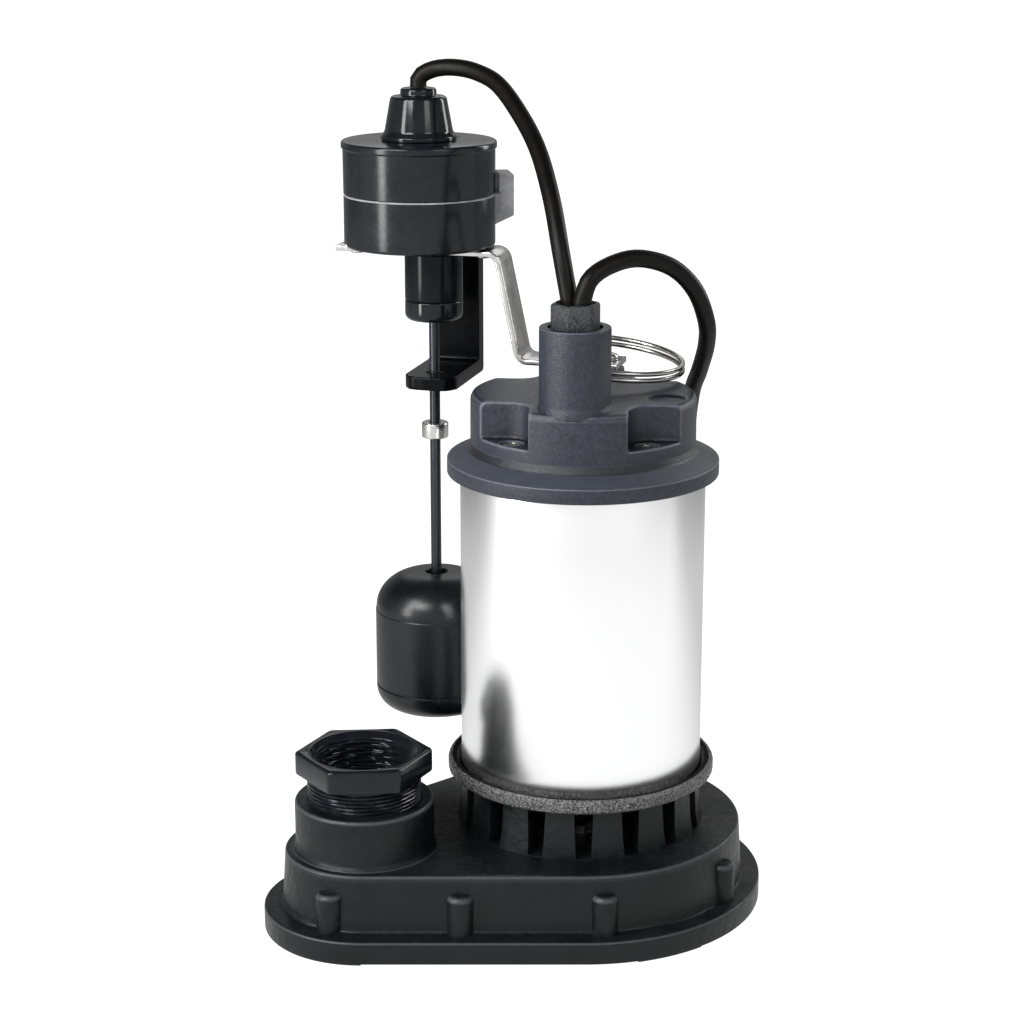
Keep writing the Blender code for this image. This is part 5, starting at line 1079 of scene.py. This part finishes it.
class PUMP_OT_strap(bpy.types.Operator):
    """The bent plated strap with its screws and rivets"""

    bl_idname = "pump.strap"
    bl_label = "Mounting strap"

    def execute(self, context):
        plate = ("Bright_Plate", "pump", "zinc_steel")
        half, thick = STRAP_WIDTH / 2, STRAP_THICKNESS / 2
        outline = eased([(-half, -thick), (half, -thick), (half, thick), (-half, thick)], 5, True, 0.0007)
        across = (-math.sin(SWITCH_YAW), math.cos(SWITCH_YAW), 0.0)
        strap = swept("mounting_strap_bent", strap_line(), across, outline)
        screws = on_strap(STRAP_FOOT_AT, STRAP_SCREW_OFFSET)
        rivets = on_strap(SWITCH_AT, RIVET_OFFSET)
        low, high = span("mounting_strap")
        low_top, high_under = low + STRAP_THICKNESS, high - STRAP_THICKNESS
        cuts = pegs("screw_way", 0.0023, low - PAST, low_top + PAST, screws)
        cuts += pegs("rivet_way", 0.0019, high_under - PAST, high + PAST, rivets)
        carved(strap, cuts=cuts)
        dress(strap, *plate, "mounting_strap")
        for index, place in enumerate(screws, 1):
            name = "strap_screw_%d" % index
            seat = low_top + FIT
            head = screw_head("pan_screw_%d" % index, 0.0041, 0.0026, 0.002, seat, span(name)[0], place)
            dress(head, *plate, name)
        for index, place in enumerate(rivets, 1):
            name = "housing_rivet_%d" % index
            foot, tail = span(name)
            seat = high_under - FIT
            head = screw_head("round_rivet_%d" % index, 0.0034, seat - foot, 0.0016, seat, 2 * seat - tail,
                              place, flip=True)
            dress(head, *plate, name)
        return {"FINISHED"}


class PUMP_OT_switch(bpy.types.Operator):
    """The two-part switch case with its ear, vents and cord boot"""

    bl_idname = "pump.switch"
    bl_label = "Switch case"

    def execute(self, context):
        satin = ("Satin_Moulding", "pump", "satin_plastic")
        radius, wall, floor = CASE_RADIUS, 0.0026, 0.0032
        inside = radius - wall
        low = span("switch_housing_lower")[0]
        lid_low, top = span("switch_housing_upper")
        seam = lid_low - FIT
        case = lathe("switch_case_lower", [
            (0.0, low), (radius, low, 0.0014), (radius, seam - 0.0007, 0.0003), (radius - 0.0006, seam),
            (inside, seam), (inside, low + floor), (0.0, low + floor),
        ], 192)
        root, clear, ear_top = radius - wall / 2, LID_RADIUS + FIT, low + 0.0315
        lug = prism("ear", eased([
            (root, low + 0.009), (clear + 0.0065, low + 0.013, 0.0012), (clear + 0.0065, ear_top, 0.0012),
            (clear, ear_top, 0.0004), (clear, seam - FIT), (root, seam - FIT),
        ], closed=True), -0.007, 0.007)
        ear_turn = Matrix.Rotation(math.radians(24.0), 4, "Z")
        lug.data.transform(ear_turn @ Matrix.Rotation(RIGHT_ANGLE, 4, "X"))
        holes = pegs("rivet_hole", 0.0019, low - PAST, low + floor + PAST,
                     [(-RIVET_OFFSET, 0.0), (RIVET_OFFSET, 0.0)])
        shifted(carved(case, [lug], holes), SWITCH_AT, SWITCH_YAW)
        dress(case, *satin, "switch_housing_lower")

        def pale(middles, normals):
            """The ear, which stands out from the case, and the upward bevel at the seam, painted pale as a
            highlight.
            """
            bevel = (middles[:, 2] > seam - 0.0006) & (normals[:, 2] > 0.2)
            out = np.hypot(middles[:, 0] - SWITCH_AT[0], middles[:, 1] - SWITCH_AT[1])
            return out > np.where(bevel, radius - 0.0008, radius + FIT)

        repaint(case, "Pale_Moulding", pale)

        lid = lathe("switch_case_lid", [
            (0.0, top - floor), (inside, top - floor), (inside, lid_low), (radius, lid_low, 0.0002),
            (radius + 0.0001, top - 0.0036, 0.0002), (LID_RADIUS, top - 0.0030, 0.0004),
            (LID_RADIUS, top, 0.0012), (0.0, top),
        ], 192)
        vents = [peg("vent", 0.0013, top - 0.0016, top + PAST, place, 24)
                 for place in on_circle(0.019, (45.0, 165.0))]
        shifted(carved(lid, cuts=vents), SWITCH_AT, SWITCH_YAW)
        dress(lid, *satin, "switch_housing_upper")

        low, high = span("cord_boot")
        neck, flange, sleeve = low + 0.0188, 0.0166, 0.0079
        cone = lathe("cord_boot_moulded", [
            (0.0, low), (flange, low, 0.0002), (flange, low + 0.0016, 0.0008), (0.0150, low + 0.0036, 0.003),
            (0.0122, neck, 0.0018), (sleeve, neck, 0.0008), (sleeve, high, 0.0012), (0.0, high),
        ], 96, SWITCH_AT)
        dress(cone, "Gloss_Moulding", "pump", "gloss_plastic", "cord_boot")
        return {"FINISHED"}


class PUMP_OT_tube(bpy.types.Operator):
    """The tube under the switch with its cap, and the arm that guides the rod"""

    bl_idname = "pump.tube"
    bl_label = "Switch tube and guide"

    def execute(self, context):
        outer, bore = 0.0129, 0.0104
        low, high = span("switch_tube")
        item = lathe("switch_tube_sleeve", [
            (bore, low), (outer, low, 0.0005), (outer, high, 0.0003), (bore, high),
        ], 96, ROD_AT, closed=True)
        dress(item, "Scratched_Tube", "pump", "gloss_plastic", "switch_tube")
        low, high = span("tube_end_cap")
        floor = low + 0.0044
        item = lathe("tube_cap_rounded", [
            (ROD_BORE, low, 0.0004), (outer, low, 0.003), (outer, high, 0.0006), (bore, high), (bore, floor),
            (ROD_BORE, floor),
        ], 96, ROD_AT, closed=True, steps=9)
        dress(item, "Gloss_Moulding", "pump", "gloss_plastic", "tube_end_cap")

        half, front, back, ease, square = 0.012, -0.012, 0.038, 0.004, 0.001
        cheek, shoulder = half - 0.0035, front + 0.006
        foot = eased([
            (-half, shoulder, ease), (-cheek, front + 0.001, ease), (0.0, front, 0.02),
            (cheek, front + 0.001, ease), (half, shoulder, ease), (half, back, square),
            (-half, back, square),
        ], 8, closed=True)
        low, high = span("rod_guide")
        foot_top = low + 0.0061
        guide = prism("rod_guide_arm", foot, low, foot_top)
        arm = slab("arm", (-half, 0.030, low + 0.001), (half, back, high))
        hole = peg("bore", 0.0029, low - PAST, foot_top + PAST)
        shifted(cast(guide, [arm], [hole], 0.0007, 1), ROD_AT, SWITCH_YAW)
        # The arm takes a darker, duller copy of the case's moulding: painted shade
        dress(guide, "Dark_Moulding", "pump", "satin_plastic", "rod_guide")
        return {"FINISHED"}


class PUMP_OT_float(bpy.types.Operator):
    """The rod with its collar and stop, and the float"""

    bl_idname = "pump.float"
    bl_label = "Rod and float"

    def execute(self, context):
        radius, ring = 0.00238, 0.006
        low, high = span("float_rod")
        item = lathe("float_rod_round", [
            (0.0, low), (radius, low, 0.0005), (radius, high, 0.0005), (0.0, high),
        ], 48, ROD_AT)
        dress(item, "Dark_Rod", "rod", "black_rod", "float_rod")

        low, high = span("stop_collar")
        collar = lathe("stop_collar_turned", [
            (ROD_BORE, low, 0.0002), (ring, low, 0.0007), (ring, high, 0.0007), (ROD_BORE, high, 0.0002),
        ], 96, closed=True)
        hole = peg("hole", 0.0019, 0.0, 0.009)
        middle = Matrix.Translation((0.0, 0.0, (low + high) / 2))
        hole.data.transform(middle @ Matrix.Rotation(-RIGHT_ANGLE, 4, "Y"))
        shifted(carved(collar, cuts=[hole]), ROD_AT, SWITCH_YAW)
        dress(collar, "Bright_Plate", "rod", "zinc_steel", "stop_collar")
        refinish("Dark_Rod", "collar_set_screw")

        low, high = span("lower_stop")
        item = lathe("lower_stop_rubber", [(ROD_BORE, low), (ring, low), (ring, high), (ROD_BORE, high)], 64,
                     ROD_AT, closed=True, ease=0.0006)
        dress(item, "Seal_Rubber", "rod", "seal_rubber", "lower_stop")

        stop_top = high + FIT
        low, high = span("float")
        wide, crown, dome, foot, throat, well = 0.028, 0.009, 0.016, 0.010, 0.005, 0.0072
        inset, groove, seam, spring = wide - 0.0003, wide - 0.0005, low + 0.0115, high - dome
        sweep = np.radians(np.linspace(84.0, 0.0, 24))
        over = np.stack([crown + (inset - crown) * np.cos(sweep), spring + dome * np.sin(sweep)], axis=1)
        under = on_circle(foot, np.linspace(0.0, -90.0, 16), (wide - foot, low + foot))
        profile = np.concatenate([
            [(ROD_BORE, high - 0.005), (throat, high - 0.0025), (throat, high - 0.0004), (0.0054, high)],
            [(crown, high)], over, [(inset, spring - 0.0008), (wide, spring - 0.0012)],
            [(wide, seam + 0.0007), (groove, seam + 0.0002), (groove, seam - 0.0002), (wide, seam - 0.0007)],
            under, [(well, low), (well, stop_top), (ROD_BORE, stop_top)],
        ])
        item = lathe("float_moulded", profile, 160, ROD_AT, closed=True)
        dress(item, "Float_Moulding", "float", "float_plastic", "float")
        return {"FINISHED"}


class PUMP_OT_ring(bpy.types.Operator):
    """The two-turn wire ring that hangs in the cover's lug"""

    bl_idname = "pump.ring"
    bl_label = "Lifting ring"

    def execute(self, context):
        radius, centre_x, turns, pitch, wire = 0.030, 0.009, 2, 0.0028, 0.0011
        tilt, lean = math.radians(6.2), math.radians(2.0)
        back = math.sqrt(radius ** 2 - centre_x ** 2)
        share = np.linspace(0.0, turns, turns * 96 + 1)
        angle = math.pi + share * math.tau
        x = centre_x + radius * np.cos(angle)
        y = back + radius * np.sin(angle)
        z = (share - 0.7) * pitch - x * math.tan(tilt) + y * math.tan(lean)
        item = tube("lifting_ring_wire", np.stack([x, y, z], axis=1) + np.array(LUG_AT), wire, 6)
        dress(item, "Bright_Wire", "ring", "polished_steel", "lifting_ring")
        return {"FINISHED"}


def smooth_route(points, step):
    """Evenly spaced points on a Catmull-Rom curve through the route's own points."""
    knots = np.asarray(points, float)
    knots = np.concatenate([[2 * knots[0] - knots[1]], knots, [2 * knots[-1] - knots[-2]]])
    a, b, c, d = knots[:-3, None], knots[1:-2, None], knots[2:-1, None], knots[3:, None]
    t = np.linspace(0.0, 1.0, 40, endpoint=False)[None, :, None]
    bend = (2 * a - 5 * b + 4 * c - d) * t ** 2 + (3 * b - a - 3 * c + d) * t ** 3
    fine = ((2 * b + (c - a) * t + bend) / 2).reshape(-1, 3)
    fine = np.concatenate([fine, knots[-2:-1]])
    along = np.concatenate([[0.0], np.cumsum(np.linalg.norm(np.diff(fine, axis=0), axis=1))])
    places = np.linspace(0.0, along[-1], int(along[-1] / step) + 2)
    return np.stack([np.interp(places, along, fine[:, axis]) for axis in range(3)], axis=1)


def eased_step(share):
    """A step from 0 to 1 with level ends: 3 s^2 - 2 s^3."""
    share = np.clip(share, 0.0, 1.0)
    return share ** 2 * (3.0 - 2.0 * share)


def coil_line():
    """The put-away cord: it winds in on the floor, climbs at the middle and winds out on top."""
    share = np.linspace(0.0, COIL_TURNS, int(COIL_TURNS * 48) + 1)
    half = COIL_TURNS / 2
    angle = -RIGHT_ANGLE - share * math.tau
    radius = COIL_RADIUS - COIL_PITCH * (half - np.abs(share - half))
    height = CORD_RADIUS + FIT + COIL_PITCH * eased_step((share - half) * 2.0 + 0.5)
    line = placed(np.stack([radius * np.cos(angle), radius * np.sin(angle), height], axis=1), COIL_AT)
    straight = 2 * CORD_RADIUS
    last = np.array((math.sin(angle[-1]), -math.cos(angle[-1]), 0.0))
    return np.concatenate([[line[0] + (straight, 0.0, 0.0)], line, [line[-1] + last * straight]])


class PUMP_OT_cords(bpy.types.Operator):
    """The switch's cord, the power cord with its put-away coil, and the plug"""

    bl_idname = "pump.cords"
    bl_label = "Cords and plug"

    def execute(self, context):
        at = placed((*RISER_AT, 0.0), yaw=COVER_YAW)
        aside = np.array((math.cos(CORD_BEARING), math.sin(CORD_BEARING), 0.0)) * CORD_SPREAD
        foot = np.array((0.0, 0.0, span("gland_grommet")[1] + FIT))
        mouth = np.array((0.0, 0.0, span("gland_nut")[1] + FIT))
        boot = np.array((*SWITCH_AT, span("cord_boot")[1] + FIT))
        boot_way = boot + np.array((0.0, 0.0, CORD_STEP))
        middle = smooth_route([at - aside + mouth, *SWITCH_CORD_ROUTE, boot_way], CORD_STEP)
        path = np.concatenate([[at - aside + foot], middle, [boot]])
        item = tube("switch_cord_jacket", path, CORD_RADIUS, 10)
        dress(item, "Cord_Jacket", "pump", "cord_rubber", "switch_cord")

        coil = coil_line()
        middle = smooth_route([at + aside + mouth, *POWER_CORD_ROUTE, coil[0]], CORD_STEP)
        path = np.concatenate([[at + aside + foot], middle, coil[1:]])
        item = tube("power_cord_jacket", path, CORD_RADIUS, 10)
        dress(item, "Cord_Jacket", "pump", "cord_rubber", "power_cord", "power_cord_coil")
        plug = self.plug(coil[-1], coil[-1] - coil[-2])
        tie = self.tie()
        names = ("plug_blade_left", "plug_blade_right", "plug_ground_pin")
        refinish("Plain_Brass", *names)
        return {"FINISHED"}

    def plug(self, at, way):
        """A moulded plug: rounded-square sections along its axis, ribbed at the neck, with a flat face."""
        way = way / np.linalg.norm(way)
        side = np.array((-way[1], way[0], 0.0))
        up = np.array((0.0, 0.0, 1.0))
        neck, body, ribbed = 0.0052, 0.0114, 0.0125
        steps = np.concatenate([np.linspace(0.0, ribbed, 26), np.linspace(0.013, 0.0495, 40)])
        ribs = 0.0004 * np.where(steps < ribbed, np.cos(steps / 0.0025 * math.tau), 0.0)
        size = neck + ribs + (body - neck) * eased_step((steps - 0.011) / 0.016)
        size = np.concatenate([size, [0.0111, 0.0105]])
        steps = np.concatenate([steps, [0.0498, 0.05]])
        angles = around(64)
        power = 2.0 + 1.2 * np.clip((steps - 0.02) / 0.02, 0.0, 1.0)[:, None]
        round_off = (np.abs(np.cos(angles)) ** power + np.abs(np.sin(angles)) ** power) ** (-1.0 / power)
        reach = np.minimum(size[:, None] * np.minimum(round_off, 1.12), 0.0115)
        grid = (at + way * FIT + steps[:, None, None] * way
                + (reach * np.cos(angles))[..., None] * side + (reach * np.sin(angles))[..., None] * up)
        return dress(skinned("plug_moulded", grid), "Cord_Jacket", "pump", "cord_rubber", "plug_body")

    def tie(self):
        """A thin band round the coil's bundle: a flat outline carried round a rounded loop."""
        slack, bottom, half_width, half_thick = 0.0004, 0.00014, 0.0028, 0.00012
        inner = COIL_RADIUS - COIL_PITCH * COIL_TURNS / 2 - CORD_RADIUS - slack
        outer = COIL_RADIUS + CORD_RADIUS + slack
        top = 2 * CORD_RADIUS + COIL_PITCH + 2 * FIT
        loop = eased([(inner, bottom), (outer, bottom), (outer, top), (inner, top)], 10, True, 0.0034)
        bundle = np.column_stack([loop[:, 0], np.zeros(len(loop)), loop[:, 1]])
        outward = bundle - bundle.mean(axis=0)
        thin = outward / np.linalg.norm(outward, axis=1, keepdims=True) * half_thick
        half = np.array((0.0, half_width, 0.0))
        band = np.stack([
            bundle - thin - half, bundle + thin - half, bundle + thin + half, bundle - thin + half,
        ], axis=1)
        item = skinned("coil_tie", placed(band, COIL_AT, math.radians(64.0)), closed=True)
        return dress(item, "Seal_Rubber", "pump", "seal_rubber")


class PUMP_OT_stage(bpy.types.Operator):
    """The pale floor, the soft studio light and the camera"""

    bl_idname = "pump.stage"
    bl_label = "Studio"

    def execute(self, context):
        scene = context.scene
        lens = bpy.data.cameras.new("Camera")
        lens.lens = 83.3
        lens.sensor_width = 36.0
        camera = linked("Camera", lens)
        camera.location = (-0.0303, -0.982, 0.4457)
        camera.rotation_euler = (math.radians(74.57), 0.0, 0.0)
        scene.camera = camera

        reach = 40.0
        floor = slab("floor", (-reach, -reach, -0.02), (reach, reach, -0.0002))
        floor.data.materials.append(pale_floor())

        for name, at, size, power in LIGHTS:
            lamp = bpy.data.lights.new(name, "AREA")
            lamp.shape = "RECTANGLE"
            lamp.size, lamp.size_y = size
            lamp.energy = power
            item = linked(name, lamp)
            item.location = at
            item.rotation_euler = (Vector(LIGHT_AIM) - Vector(at)).to_track_quat("-Z", "Y").to_euler()
        self.sky(scene)
        scene.view_settings.view_transform = "Standard"
        scene.view_settings.look = "None"
        return {"FINISHED"}

    def sky(self, scene):
        """A white room: white to the lens, and to the pump bright low down in front and dark overhead."""
        world = bpy.data.worlds.new("White_Room")
        world.use_nodes = True
        scene.world = world
        tree = world.node_tree
        place = node(tree, "TexCoord").outputs["Generated"]
        split = node(tree, "SeparateXYZ", {"Vector": place}).outputs
        ramp = node(tree, "ValToRGB", {"Fac": split["Z"]})
        low, high = ramp.color_ramp.elements
        low.position, low.color = 0.20, WHITE
        high.position, high.color = 0.50, (0.26, 0.265, 0.28, 1.0)
        room = tree.nodes["Background"]
        feed(tree, room, {
            "Color": ramp.outputs["Color"],
            "Strength": remap(tree, split["Y"], (-0.7, 0.2), (1.0, 0.32)),
        })
        both = node(tree, "MixShader", {
            "Fac": node(tree, "LightPath").outputs["Is Camera Ray"],
            1: room.outputs["Background"],
            2: node(tree, "Background", {"Color": WHITE, "Strength": PAPER_WHITE}).outputs["Background"],
        })
        feed(tree, tree.nodes["World Output"], {"Surface": both.outputs["Shader"]})


PIECES = (
    PUMP_OT_stage, PUMP_OT_cords, PUMP_OT_base, PUMP_OT_bushing, PUMP_OT_motor, PUMP_OT_cover, PUMP_OT_gland,
    PUMP_OT_strap, PUMP_OT_switch, PUMP_OT_tube, PUMP_OT_float, PUMP_OT_ring,
)


class PUMP_PT_looks(bpy.types.Panel):
    """The pump's pieces, colours and sizes"""

    bl_idname = "PUMP_PT_looks"
    bl_label = "Sump pump"
    bl_space_type = "VIEW_3D"
    bl_region_type = "UI"
    bl_category = "Pump"

    def draw(self, context):
        for piece in PIECES:
            self.layout.operator(piece.bl_idname)
        for group in (context.scene.pump_looks.colours, context.scene.pump_looks.sizes):
            for name in group.__annotations__:
                self.layout.prop(group, name)


CLASSES = (PumpColours, PumpSizes, PumpLooks, *PIECES, PUMP_PT_looks)


def register():
    for item in CLASSES:
        bpy.utils.register_class(item)
    bpy.types.Scene.pump_looks = PointerProperty(type=PumpLooks)


def unregister():
    del bpy.types.Scene.pump_looks
    for item in reversed(CLASSES):
        bpy.utils.unregister_class(item)


def main():
    register()
    for piece in PIECES:
        group, name = piece.bl_idname.split(".")
        getattr(getattr(bpy.ops, group), name)()


if __name__ == "__main__":
    main()
